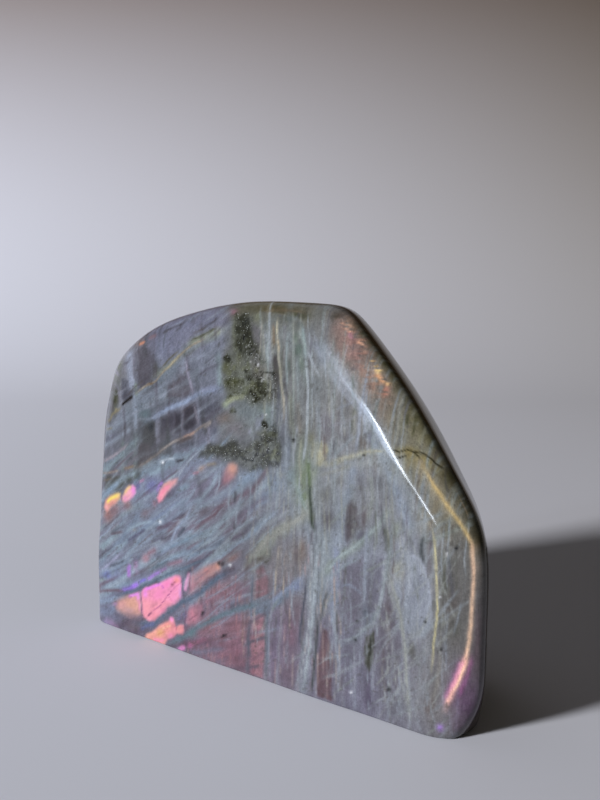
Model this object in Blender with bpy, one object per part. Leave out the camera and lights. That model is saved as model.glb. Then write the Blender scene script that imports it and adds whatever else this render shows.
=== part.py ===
"""A labradorite freeform: one polished stone that stands on a sawn base.

Metres, +Z up. The broad polished face looks along -Y, and leans back a little.
The origin is on the table, under the middle of the stone's box.

The stone is made as a lapidary makes it: flats are ground on a rough block, and the edges between
them are rounded over by hand. Each flat is a plane with a slight crown, the stone is what lies
under all of them, and the points of a divided block are cast outwards until they meet its surface.
"""

import math
from typing import NamedTuple

import bmesh
import bpy
import numpy as np

MM = 0.001

# Driving dimensions. The flats are listed in millimetres, on the stone's own axes.
HEART = np.array((0.0, 1.0, 42.0)) * MM
# Half the block that the rays are cast through: to the side, to the front and up from the heart.
RAY_BLOCK = np.array((66.0, 21.0, 78.0)) * MM
# The sawn base's edge is eased to this radius.
BASE_EASE = 0.9 * MM

# Strips of the block along its width, depth and height.
STRIPS = (38, 14, 32)
# How far the strips are drawn towards the block's edges, where the stone is rounded: 0 is even.
EDGE_DRAW = 0.55

# The polish leaves slow waves this high, with these lengths across, in and up.
WAVE_HEIGHT = 0.10 * MM
WAVE_LENGTHS = np.array((37.0, 29.0, 43.0)) * MM

MOST_REACH = 140.0 * MM
CAST_STEPS = 40

STONE_GREY = (0.19, 0.20, 0.20, 1.0)
POLISH_ROUGHNESS = 0.12
STONE_IOR = 1.56


class Flat(NamedTuple):
    """One ground flat. Azimuth 0 faces -Y and 90 faces +X.

    The middle is a point of the flat, the rounding says how softly the flat meets those above it
    in the list, and the crown is the radius that the flat bulges to, all in millimetres.
    """

    name: str
    azimuth: float
    elevation: float
    middle: tuple
    rounding: float
    crown: float = 0.0


FLATS = (
    Flat("front", -0.6, 5.0, (-0.5, -20.0, 45.0), 0.0, crown=2500.0),
    Flat("front_right_bevel", 23.0, 3.0, (58.7, -21.1, 25.0), 2.0),
    Flat("front_high_bevel", 21.5, 21.6, (32.7, -17.5, 76.3), 2.0),
    Flat("right_low", 121.0, 0.0, (62.1, -8.3, 32.0), 6.0, crown=400.0),
    Flat("right_middle", 120.0, 28.8, (56.9, -9.0, 56.1), 6.0),
    Flat("right_high", 117.0, 42.4, (41.2, -7.0, 78.6), 7.0),
    Flat("right_foot", 84.0, -30.0, (66.0, -12.8, 6.6), 5.0),
    Flat("top", 180.0, 84.0, (7.5, -9.0, 99.6), 5.0),
    Flat("top_left", -92.0, 73.5, (-36.0, -9.0, 95.2), 10.0),
    Flat("shoulder", -92.0, 47.8, (-57.6, -9.0, 85.5), 10.0),
    Flat("left", -100.0, -0.6, (-65.1, -9.0, 35.0), 7.0, crown=450.0),
    Flat("back", 176.0, 9.0, (-0.5, 18.2, 45.0), 9.0, crown=400.0),
    Flat("back_right_bevel", 150.0, 20.0, (37.5, 11.5, 60.0), 7.0),
    Flat("back_left_bevel", -138.0, 12.0, (-50.5, 11.0, 45.0), 7.0),
    Flat("back_high_bevel", -168.0, 40.0, (-15.0, 7.2, 88.0), 6.0),
)


def clear_scene():
    """Removes what the startup scene holds."""
    for obj in list(bpy.data.objects):
        bpy.data.objects.remove(obj, do_unlink=True)


def facing(azimuth, elevation):
    """The outward direction of a flat."""
    a, e = math.radians(azimuth), math.radians(elevation)
    return np.array((math.sin(a) * math.cos(e), -math.cos(a) * math.cos(e), math.sin(e)))


def rounded_max(a, b, rounding):
    """The larger of a and b, with a smooth hump where they differ by less than the rounding."""
    if rounding <= 0:
        return np.maximum(a, b)
    near = np.maximum(rounding - np.abs(a - b), 0) / rounding
    return np.maximum(a, b) + near**3 * rounding / 6


def above_flat(flat, points):
    """How far the points lie above a flat, whose crown falls away from its middle."""
    away = points - np.array(flat.middle) * MM
    height = away @ facing(flat.azimuth, flat.elevation)
    if flat.crown:
        height = height + ((away**2).sum(axis=1) - height**2) / (2 * flat.crown * MM)
    return height


def waves(points):
    """The slow unevenness of a surface polished by hand."""
    x, y, z = (points * (2 * math.pi / WAVE_LENGTHS)).T
    return WAVE_HEIGHT * (np.sin(x + 1.3 * np.cos(z)) + np.sin(z + y))


def base_ease(heights):
    """How far the stone's sides are drawn in just over the base: a quarter round."""
    under = np.clip(BASE_EASE - heights, 0, BASE_EASE)
    return BASE_EASE - np.sqrt(BASE_EASE**2 - under**2)


def above_stone(points):
    """Below zero inside the ground flats, and above zero outside them."""
    height = above_flat(FLATS[0], points)
    for flat in FLATS[1:]:
        height = rounded_max(height, above_flat(flat, points), flat.rounding * MM)
    return height + waves(points) + base_ease(points[:, 2])


def cast(starts, directions):
    """The points where rays leave the stone, found by halving."""
    near = np.zeros(len(directions))
    far = np.full(len(directions), MOST_REACH)
    for _ in range(CAST_STEPS):
        middle = (near + far) / 2
        inside = above_stone(starts + directions * middle[:, None]) < 0
        near = np.where(inside, middle, near)
        far = np.where(inside, far, middle)
    return starts + directions * far[:, None]


def divided_block():
    """A block two units across on each side, with its edges cut into strips."""
    bm = bmesh.new()
    bmesh.ops.create_cube(bm, size=2)
    for axis, strips in enumerate(STRIPS):
        along = [e for e in bm.edges if abs(e.verts[0].co[axis] - e.verts[1].co[axis]) > 1.9]
        bmesh.ops.subdivide_edges(bm, edges=along, cuts=strips - 1, use_grid_fill=True)
    return bm


def onto_stone(block_points):
    """Where the block's points go on the stone.

    Points over the block's middle are cast from the heart. Those under it are cast level from the
    upright line below the heart, so that the lowest of them lie in the plane of the base. Points
    of the block's underside are drawn in from the base's rim.
    """
    drawn = (1 - EDGE_DRAW) * block_points + EDGE_DRAW * np.sin(block_points * math.pi / 2)
    over, under = np.clip(drawn[:, 2], 0, 1), np.clip(drawn[:, 2], -1, 0)
    from_rim = np.ones(len(drawn))
    beneath = block_points[:, 2] < -0.999
    from_rim[beneath] = np.abs(drawn[beneath, :2]).max(axis=1)
    level = drawn[:, :2] / np.maximum(from_rim, 1e-9)[:, None]
    starts = np.zeros_like(drawn) + HEART
    starts[:, 2] = HEART[2] * (1 + under)
    rays = np.column_stack((level, over)) * RAY_BLOCK
    rays = rays / np.maximum(np.linalg.norm(rays, axis=1), 1e-9)[:, None]
    return starts + (cast(starts, rays) - starts) * from_rim[:, None]


def set_down(points):
    """The points moved so that the middle of their box stands over the origin."""
    low, high = points.min(axis=0), points.max(axis=0)
    return points - ((low[0] + high[0]) / 2, (low[1] + high[1]) / 2, low[2])


def stone_material():
    """Grey feldspar with a hand polish."""
    material = bpy.data.materials.new("polished_labradorite")
    material.use_nodes = True
    shader = material.node_tree.nodes["Principled BSDF"]
    shader.inputs["Base Color"].default_value = STONE_GREY
    shader.inputs["Roughness"].default_value = POLISH_ROUGHNESS
    shader.inputs["Metallic"].default_value = 0.0
    shader.inputs["IOR"].default_value = STONE_IOR
    return material


def make_stone():
    """The whole stone as one closed solid."""
    bm = divided_block()
    block_points = np.array([v.co for v in bm.verts])
    surface = set_down(onto_stone(block_points))
    for vertex, place in zip(bm.verts, surface):
        vertex.co = place
    bmesh.ops.recalc_face_normals(bm, faces=bm.faces)
    mesh = bpy.data.meshes.new("freeform_stone")
    bm.to_mesh(mesh)
    bm.free()
    mesh.shade_smooth()
    mesh.materials.append(stone_material())
    stone = bpy.data.objects.new("freeform_stone", mesh)
    bpy.context.scene.collection.objects.link(stone)
    return stone


clear_scene()
make_stone()
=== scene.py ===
"""A polished labradorite freeform: one grey stone with pale veils, dark speckles and coloured flashes.

Metres and +Z up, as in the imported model. The broad polished face looks along -Y. The stone is the
same set of ground flats as the CAD solid, cast on a much finer grid, and its pattern is worked out
for each point of that grid in millimetres across the face (x) and up it (z).
"""

import logging
import math
from dataclasses import dataclass
from enum import Enum
from typing import Iterable, Iterator, NamedTuple

import bpy
import numpy as np
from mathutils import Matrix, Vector


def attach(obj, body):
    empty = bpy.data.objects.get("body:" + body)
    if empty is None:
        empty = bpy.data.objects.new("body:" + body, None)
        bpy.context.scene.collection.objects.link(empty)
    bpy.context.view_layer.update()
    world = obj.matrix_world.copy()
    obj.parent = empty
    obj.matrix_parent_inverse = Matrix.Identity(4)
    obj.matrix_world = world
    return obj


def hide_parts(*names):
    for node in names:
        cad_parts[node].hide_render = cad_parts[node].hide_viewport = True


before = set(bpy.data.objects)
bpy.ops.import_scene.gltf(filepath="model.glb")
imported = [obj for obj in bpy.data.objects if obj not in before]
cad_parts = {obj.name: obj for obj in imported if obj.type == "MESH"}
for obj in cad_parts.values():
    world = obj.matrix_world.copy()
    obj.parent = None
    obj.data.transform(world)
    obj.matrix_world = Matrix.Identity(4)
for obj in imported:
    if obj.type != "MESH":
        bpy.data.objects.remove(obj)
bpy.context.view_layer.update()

log = logging.getLogger("freeform")

MM = 0.001
# The camera's heading in degrees, which the backdrop is square to.
VIEW_HEADING = 38.7
FAR = 1e9
TINY = 1e-9
Array = np.ndarray
Place = tuple[float, float]


def rgb(code: str) -> Array:
    """A hex colour as three sRGB shares."""
    return np.array([int(code[i : i + 2], 16) for i in (1, 3, 5)]) / 255.0


def to_linear(shares: Array) -> Array:
    """sRGB shares as linear ones: s / 12.92 when dark, else ((s + 0.055) / 1.055)^2.4."""
    return np.where(shares <= 0.04045, shares / 12.92, ((shares + 0.055) / 1.055) ** 2.4)


def smooth_step(low: float, high: float, values: Array) -> Array:
    """0 below low and 1 above high, with the rise t^2 (3 - 2t) between."""
    t = np.clip((values - low) / (high - low), 0.0, 1.0)
    return t * t * (3.0 - 2.0 * t)


class Noise:
    """Smooth random values in space, between -1 and 1."""

    CELLS = 32
    FALLOFF = 0.55
    SHIFT = 17.3

    def __init__(self, seed: int) -> None:
        """Draws the lattice's values from the seed."""
        self.values = np.random.default_rng(seed).random((self.CELLS,) * 3) * 2.0 - 1.0

    def __call__(self, places: Array, size: Iterable[float] | float) -> Array:
        """Blends the eight lattice values around each place, in cells of this size."""
        cells = places / np.asarray(size, dtype=float)
        corner = np.floor(cells).astype(int)
        share = cells - corner
        share = share * share * (3.0 - 2.0 * share)
        total = np.zeros(len(places))
        for i, j, k in np.ndindex(2, 2, 2):
            a, b, c = ((corner + (i, j, k)) % self.CELLS).T
            total += self.values[a, b, c] * np.prod(np.where((i, j, k), share, 1.0 - share), axis=1)
        return total

    def layered(self, places: Array, size: Iterable[float] | float, layers: int = 3) -> Array:
        """Noise of a size, of half of it and so on, each layer 0.55 as strong as the one before."""
        strengths = self.FALLOFF ** np.arange(layers)
        parts = [self(places + self.SHIFT * n, np.asarray(size, float) / 2**n) for n in range(layers)]
        return strengths @ np.array(parts) / strengths.sum()


def turned(x: Array, z: Array, centre: Place, degrees: float) -> tuple[Array, Array]:
    """Places as distances along and across a line through the centre."""
    turn = math.radians(degrees)
    dx, dz = x - centre[0], z - centre[1]
    return dx * math.cos(turn) + dz * math.sin(turn), dz * math.cos(turn) - dx * math.sin(turn)


def smooth_route(places: tuple[Place, ...], parts: int = 5) -> Array:
    """A Catmull-Rom curve through the places."""
    if len(places) < 3:
        return np.array(places, dtype=float)
    points = np.array((places[0],) + places + (places[-1],), dtype=float)
    a, b, c, d = (points[n : len(points) - 3 + n, None, :] for n in range(4))
    t = np.linspace(0.0, 1.0, parts, endpoint=False)[None, :, None]
    square = a - 2.5 * b + 2.0 * c - 0.5 * d
    cube = 1.5 * (b - c) + 0.5 * (d - a)
    runs = b + 0.5 * (c - a) * t + square * t**2 + cube * t**3
    return np.vstack((runs.reshape(-1, 2), points[-1:]))


def from_route(x: Array, z: Array, route: Array) -> tuple[Array, Array]:
    """How far places are from a route.

    Args:
        x: Places across the face.
        z: Places up the face.
        route: The route's points, one a row.

    Returns:
        The distance to the nearest point of the route, and the share of the route that lies before
        that point.
    """
    best, share = np.full(len(x), FAR), np.zeros(len(x))
    lengths = np.linalg.norm(np.diff(route, axis=0), axis=1)
    ends = np.concatenate(([0.0], np.cumsum(lengths))) / max(lengths.sum(), TINY)
    for (ax, az), (bx, bz), start, end in zip(route[:-1], route[1:], ends[:-1], ends[1:]):
        ux, uz = bx - ax, bz - az
        t = np.clip(((x - ax) * ux + (z - az) * uz) / (ux * ux + uz * uz + TINY), 0.0, 1.0)
        away = np.hypot(x - ax - t * ux, z - az - t * uz)
        nearer = away < best
        best, share = np.where(nearer, away, best), np.where(nearer, start + t * (end - start), share)
    return best, share


@dataclass(frozen=True)
class Zone:
    """A soft oval: its cover is e^-(a^2 + b^2), with a and b in shares of its two radii."""

    centre: Place
    radii: Place
    colour: str
    strength: float = 0.7
    lean: float = 0.0

    def box(self) -> tuple[float, float, float, float]:
        """The lowest and highest x and z that the zone reaches."""
        (x, z), far = self.centre, 2.6 * max(self.radii)
        return x - far, x + far, z - far, z + far

    def cover(self, x: Array, z: Array) -> Array:
        """How much the zone covers each place, from 0 to 1."""
        along, across = turned(x, z, self.centre, self.lean)
        return self.strength * np.exp(-((along / self.radii[0]) ** 2 + (across / self.radii[1]) ** 2))


@dataclass(frozen=True)
class Band:
    """A soft line: its cover is e^-(distance / width)^2, and it thins over the taper at its ends."""

    route: tuple[Place, ...]
    width: float
    colour: str
    strength: float = 0.7
    taper: float = 0.15

    def box(self) -> tuple[float, float, float, float]:
        """The lowest and highest x and z that the band reaches."""
        (x0, z0), (x1, z1) = np.min(self.route, axis=0), np.max(self.route, axis=0)
        far = 3.0 * self.width + 1.0
        return x0 - far, x1 + far, z0 - far, z1 + far

    def cover(self, x: Array, z: Array) -> Array:
        """How much the band covers each place, from 0 to 1."""
        away, share = from_route(x, z, smooth_route(self.route))
        fade = 0.25 + 0.75 * smooth_step(0.0, max(self.taper, 1e-3), np.minimum(share, 1.0 - share))
        return self.strength * fade * np.exp(-((away / self.width) ** 2))


@dataclass(frozen=True)
class Patch:
    """An area inside an outline, whose cover rises over the softness on both sides of it."""

    outline: tuple[Place, ...]
    colour: str
    strength: float = 0.9
    soft: float = 0.5

    def box(self) -> tuple[float, float, float, float]:
        """The lowest and highest x and z that the patch reaches."""
        (x0, z0), (x1, z1) = np.min(self.outline, axis=0), np.max(self.outline, axis=0)
        return x0 - self.soft, x1 + self.soft, z0 - self.soft, z1 + self.soft

    def cover(self, x: Array, z: Array) -> Array:
        """How much the patch covers each place: inside is where a line to the right leaves it once."""
        loop = np.array(self.outline + self.outline[:1], dtype=float)
        inside = np.zeros(len(x), dtype=bool)
        for (ax, az), (bx, bz) in zip(loop[:-1], loop[1:]):
            if az != bz:
                inside ^= ((az > z) != (bz > z)) & (x < ax + (z - az) * (bx - ax) / (bz - az))
        away = from_route(x, z, loop)[0]
        return self.strength * smooth_step(-self.soft, self.soft, np.where(inside, away, -away))


@dataclass(frozen=True)
class Flash:
    """A patch of play of colour, which turns to a second colour along a direction."""

    patch: Patch
    second: str
    towards: Place
    reach: float

    def colours(self, x: Array, z: Array) -> Array:
        """The flash's colour at each place: its share of the way is (place . direction) / reach."""
        direction = np.array(self.towards) / np.linalg.norm(self.towards)
        start = (np.array(self.patch.outline) @ direction).min()
        share = np.clip((x * direction[0] + z * direction[1] - start) / self.reach, 0.0, 1.0)[:, None]
        return rgb(self.patch.colour) * (1.0 - share) + rgb(self.second) * share


@dataclass(frozen=True)
class Cluster:
    """Grains of a dark mineral that fill part of an outline."""

    patch: Patch
    fill: float


@dataclass(frozen=True)
class Threads:
    """A family of thin strokes, strewn in a box from a seed.

    Each pair holds the lowest and highest value, except for the angle, which has its mean and its
    spread in degrees. The fan is how many degrees the mean turns for each millimetre up the face.
    """

    seed: int
    count: int
    box: tuple[float, float, float, float]
    angle: Place
    length: Place
    width: Place
    colours: tuple[str, ...]
    strength: Place
    bend: float = 0.003
    fan: float = 0.0

    def strokes(self) -> Iterator[tuple[Place, float, float, float, str, float, float]]:
        """Each stroke's centre, angle, length, width, colour, strength and bend."""
        draw = np.random.default_rng(self.seed)
        for _ in range(self.count):
            centre = (draw.uniform(*self.box[:2]), draw.uniform(*self.box[2:]))
            angle = draw.normal(*self.angle) + self.fan * centre[1]
            sizes = angle, draw.uniform(*self.length), draw.uniform(*self.width)
            colour = self.colours[draw.integers(len(self.colours))]
            yield (centre, *sizes, colour, draw.uniform(*self.strength), draw.normal(0.0, self.bend))


class Flat(NamedTuple):
    """One ground flat of the stone, in degrees and millimetres, as the CAD solid has it."""

    name: str
    azimuth: float
    elevation: float
    middle: tuple[float, float, float]
    rounding: float
    crown: float = 0.0


FLATS: tuple[Flat, ...] = (
    Flat("front", -0.6, 5.0, (-0.5, -20.0, 45.0), 0.0, crown=2500.0),
    Flat("front_right_bevel", 23.0, 3.0, (58.7, -21.1, 25.0), 2.0),
    Flat("front_high_bevel", 21.5, 21.6, (32.7, -17.5, 76.3), 2.0),
    Flat("right_low", 121.0, 0.0, (62.1, -8.3, 32.0), 6.0, crown=400.0),
    Flat("right_middle", 120.0, 28.8, (56.9, -9.0, 56.1), 6.0),
    Flat("right_high", 117.0, 42.4, (41.2, -7.0, 78.6), 7.0),
    Flat("right_foot", 84.0, -30.0, (66.0, -12.8, 6.6), 5.0),
    Flat("top", 180.0, 84.0, (7.5, -9.0, 99.6), 5.0),
    Flat("top_left", -92.0, 73.5, (-36.0, -9.0, 95.2), 10.0),
    Flat("shoulder", -92.0, 47.8, (-57.6, -9.0, 85.5), 10.0),
    Flat("left", -100.0, -0.6, (-65.1, -9.0, 35.0), 7.0, crown=450.0),
    Flat("back", 176.0, 9.0, (-0.5, 18.2, 45.0), 9.0, crown=400.0),
    Flat("back_right_bevel", 150.0, 20.0, (37.5, 11.5, 60.0), 7.0),
    Flat("back_left_bevel", -138.0, 12.0, (-50.5, 11.0, 45.0), 7.0),
    Flat("back_high_bevel", -168.0, 40.0, (-15.0, 7.2, 88.0), 6.0),
)


@dataclass(frozen=True)
class GroundShape:
    """What lies under all the flats, with soft meetings, slow polish waves and an eased base."""

    flats: tuple[Flat, ...] = FLATS
    base_ease: float = 0.9
    wave_height: float = 0.10
    wave_lengths: tuple[float, float, float] = (37.0, 29.0, 43.0)
    ridge_growth: float = 6.0
    ridge_heights: tuple[float, float] = (70.0, 96.0)

    @staticmethod
    def facing(azimuth: float, elevation: float) -> Array:
        """The outward direction of a flat: azimuth 0 faces -Y and 90 faces +X."""
        a, e = math.radians(azimuth), math.radians(elevation)
        return np.array((math.sin(a) * math.cos(e), -math.cos(a) * math.cos(e), math.sin(e)))

    def above_flat(self, flat: Flat, places: Array) -> Array:
        """Height over a flat's plane, plus (distance^2 - height^2) / (2 crown) where it is crowned."""
        away = places - np.array(flat.middle)
        height = away @ self.facing(flat.azimuth, flat.elevation)
        if flat.crown:
            height = height + ((away**2).sum(axis=1) - height**2) / (2.0 * flat.crown)
        return height

    def depth(self, places: Array) -> Array:
        """How far places lie under the broad face and its two bevels."""
        return -np.max([self.above_flat(flat, places) for flat in self.flats[:3]], axis=0)

    def above(self, places: Array) -> Array:
        """Below zero inside the stone and above zero outside it.

        Two flats meet as the larger of their heights, plus r n^3 / 6, where r is the rounding and
        n is the share of r by which the heights differ by less than r. The ridge of the high bevel
        softens between the ridge heights, where r grows by the ridge growth.

        Args:
            places: Points in millimetres, one a row.

        Returns:
            One height for each point, in millimetres.
        """
        height = self.above_flat(self.flats[0], places)
        for flat in self.flats[1:]:
            other, r = self.above_flat(flat, places), flat.rounding
            if flat.name == "front_high_bevel":
                r = r + self.ridge_growth * smooth_step(*self.ridge_heights, places[:, 2])
            near = np.maximum(r - np.abs(height - other), 0.0) / r
            height = np.maximum(height, other) + near**3 * r / 6.0
        x, y, z = (places * (2.0 * math.pi / np.array(self.wave_lengths))).T
        waves = self.wave_height * (np.sin(x + 1.3 * np.cos(z)) + np.sin(z + y))
        under = np.clip(self.base_ease - places[:, 2], 0.0, self.base_ease)
        return height + waves + self.base_ease - np.sqrt(self.base_ease**2 - under**2)

    def cast(self, starts: Array, rays: Array, reach: float = 140.0, steps: int = 34) -> Array:
        """The points where rays leave the stone, found by halving the stretch that holds them."""
        near, far = np.zeros(len(rays)), np.full(len(rays), reach)
        for _ in range(steps):
            middle = (near + far) / 2.0
            inside = self.above(starts + rays * middle[:, None]) < 0.0
            near, far = np.where(inside, middle, near), np.where(inside, far, middle)
        return starts + rays * far[:, None]


class BlockFace(Enum):
    """The block's six sides: the axis that each is square to, and its end of that axis."""

    LEFT = (0, -1)
    RIGHT = (0, 1)
    FRONT = (1, -1)
    BACK = (1, 1)
    BASE = (2, -1)
    TOP = (2, 1)


@dataclass(frozen=True)
class CastBlock:
    """A block of grid lines cast outwards onto the stone, fine on the front and coarser behind.

    Each side of the block is a grid of two parameters. Above the heart, a point is cast along the
    ray from the heart through it, and below the heart it is cast level, from the upright line
    under the heart. Points of the underside are drawn in from the rim of the base.
    """

    shape: GroundShape = GroundShape()
    heart: tuple[float, float, float] = (0.0, 1.0, 42.0)
    half_block: tuple[float, float, float] = (66.0, 19.2, 78.0)
    across: int = 300
    deep: int = 16
    low: int = 96
    high: int = 126
    back_step: int = 3
    edge_draws: tuple[float, float] = (0.12, 0.45)
    rise_draw: float = 0.25
    key_steps: tuple[int, int, int] = (1, 1000, 1000000)

    @property
    def counts(self) -> Array:
        """The number of strips along each axis."""
        return np.array((self.across, self.deep, self.low + self.high))

    def lines(self, steps: Array) -> Array:
        """Block coordinates for grid steps, drawn a little towards the edges.

        Across and deep: (1 - d) t + d sin(90 t), with t from -1 to 1 and d the edge draw. Up: t
        from -1 to 0 under the heart, and (1 - d) t / (1 - d t) over it with the rise draw, which
        keeps the rows even.
        """
        block = np.empty(steps.shape)
        for axis, draw in enumerate(self.edge_draws):
            t = 2.0 * steps[:, axis] / self.counts[axis] - 1.0
            block[:, axis] = (1.0 - draw) * t + draw * np.sin(t * math.pi / 2.0)
        up = steps[:, 2]
        t = np.where(up < self.low, up / self.low - 1.0, (up - self.low) / self.high)
        block[:, 2] = np.where(t < 0.0, t, (1.0 - self.rise_draw) * t / (1.0 - self.rise_draw * t))
        return block

    def side(self, face: BlockFace) -> tuple[Array, list[tuple[Array, Array]]]:
        """One side's faces, as loops of grid steps.

        The back's faces are several strips wide and high. Those at its rim keep every grid point
        of the fine sides next to them, so that no gap opens.

        Args:
            face: Which side.

        Returns:
            The steps of all its loops, one after another, and the number of points in each loop.
        """
        axis, end = face.value
        first, second = [a for a in (0, 1, 2) if a != axis]
        outward = (end > 0) != (axis == 1)
        step = self.back_step if face is BlockFace.BACK else 1
        u, v = self.counts[first], self.counts[second]
        i, j = (g.ravel() for g in np.meshgrid(np.arange(0, u, step), np.arange(0, v, step), indexing="ij"))
        run = np.arange(step)
        edges = (
            (i[:, None] + run, np.tile(j[:, None], step), j == 0),
            (np.tile(i[:, None] + step, step), j[:, None] + run, i + step == u),
            (i[:, None] + step - run, np.tile(j[:, None] + step, step), j + step == v),
            (np.tile(i[:, None], step), j[:, None] + step - run, i == 0),
        )
        corner = np.ones(len(i), bool)
        kept = np.stack([np.column_stack([corner] + [rim] * (step - 1)) for _, _, rim in edges], 1)
        steps = np.zeros((len(i), 4, step, 3), int)
        for k, (a, b, _) in enumerate(edges):
            steps[:, k, :, first], steps[:, k, :, second] = a, b
        steps[..., axis] = 0 if end < 0 else self.counts[axis]
        kept = kept.reshape(len(i), -1)
        steps = steps.reshape(len(i), -1, 3)
        if not outward:
            steps, kept = steps[:, ::-1], kept[:, ::-1]
        return steps[kept], kept.sum(axis=1)

    def onto_stone(self, steps: Array) -> Array:
        """Where grid steps go on the stone, in millimetres, before it is centred."""
        block = self.lines(steps)
        over, under = np.clip(block[:, 2], 0.0, 1.0), np.clip(block[:, 2], -1.0, 0.0)
        beneath = steps[:, 2] == 0
        from_rim = np.where(beneath, np.abs(block[:, :2]).max(axis=1), 1.0)
        level = block[:, :2] / np.maximum(from_rim, TINY)[:, None]
        starts = np.tile(self.heart, (len(steps), 1))
        starts[:, 2] = self.heart[2] * (1.0 + under)
        rays = np.column_stack((level, over)) * self.half_block
        rays /= np.maximum(np.linalg.norm(rays, axis=1), TINY)[:, None]
        return starts + (self.shape.cast(starts, rays) - starts) * from_rim[:, None]

    def build(self) -> tuple[Array, Array, Array]:
        """The whole closed surface. Each grid point is known by its steps times the key steps.

        Returns:
            The places in millimetres, the corner numbers of all loops, and each loop's length.
        """
        sides = [self.side(face) for face in BlockFace]
        corners = np.concatenate([steps for steps, _ in sides])
        sizes = np.concatenate([size for _, size in sides])
        key = (corners * self.key_steps).sum(axis=1)
        _, first, numbers = np.unique(key, return_index=True, return_inverse=True)
        return self.onto_stone(corners[first]), numbers.ravel(), sizes


# The ground under the marks, from which every place takes the mean of the zones near it.
GROUND: tuple[Zone, ...] = (
    Zone((-57, 80), (7, 10), "#84868c"), Zone((-46, 81), (6, 6), "#666670"),
    Zone((-33, 91), (14, 5), "#75778a", lean=15), Zone((-23, 80), (8, 7), "#7b818d"),
    Zone((-31, 66), (12, 5), "#5f5f68", lean=15), Zone((-43, 60), (6, 7), "#565a5e"),
    Zone((-58, 54), (7, 7), "#6a6d76"), Zone((-42, 73), (9, 5), "#727b82", lean=25),
    Zone((-60, 44), (6, 5), "#58585c"), Zone((-60, 28), (7, 14), "#757482"),
    Zone((-46, 34), (14, 9), "#7a7f90", lean=30), Zone((-30, 44), (14, 9), "#7c8598", lean=30),
    Zone((-20, 36), (12, 10), "#7a7787"), Zone((-30, 26), (16, 6), "#727888", lean=25),
    Zone((-55, 14), (10, 8), "#74788e"), Zone((-10, 8), (12, 10), "#7a6876"),
    Zone((-14, 18), (14, 8), "#7a7080"), Zone((-40, 6), (14, 6), "#6c6474"),
    Zone((0, 88), (9, 9), "#70746e"), Zone((-6, 68), (9, 7), "#79807f"), Zone((2, 60), (7, 5), "#5c6064"),
    Zone((3, 44), (10, 10), "#777a85"), Zone((15, 88), (9, 12), "#797b7a"),
    Zone((24, 75), (10, 10), "#7d7f7d"), Zone((16, 56), (5, 8), "#747f6c"),
    Zone((34, 66), (10, 7), "#86888c"), Zone((28, 56), (10, 8), "#888c92"),
    Zone((24, 36), (8, 10), "#8e98a4"), Zone((33, 30), (6, 8), "#777883"),
    Zone((36, 10), (16, 12), "#737282"), Zone((48, 34), (7, 9), "#8f949e"),
    Zone((12, 12), (10, 14), "#776f7e"), Zone((48, 10), (8, 10), "#78797e"),
    Zone((59, 34), (5, 14), "#706f6a"), Zone((57, 10), (5, 8), "#787672"),
    Zone((37, 80), (9, 6), "#8c8072", lean=-50), Zone((45, 68), (7, 6), "#89856e", lean=-50),
    Zone((54, 56), (7, 5), "#827c6a", lean=-50), Zone((27, 91), (5, 6), "#8c7668"),
    Zone((3, 97), (12, 2.5), "#58543f"), Zone((12, 30), (8, 8), "#7c7878"),
)


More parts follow.
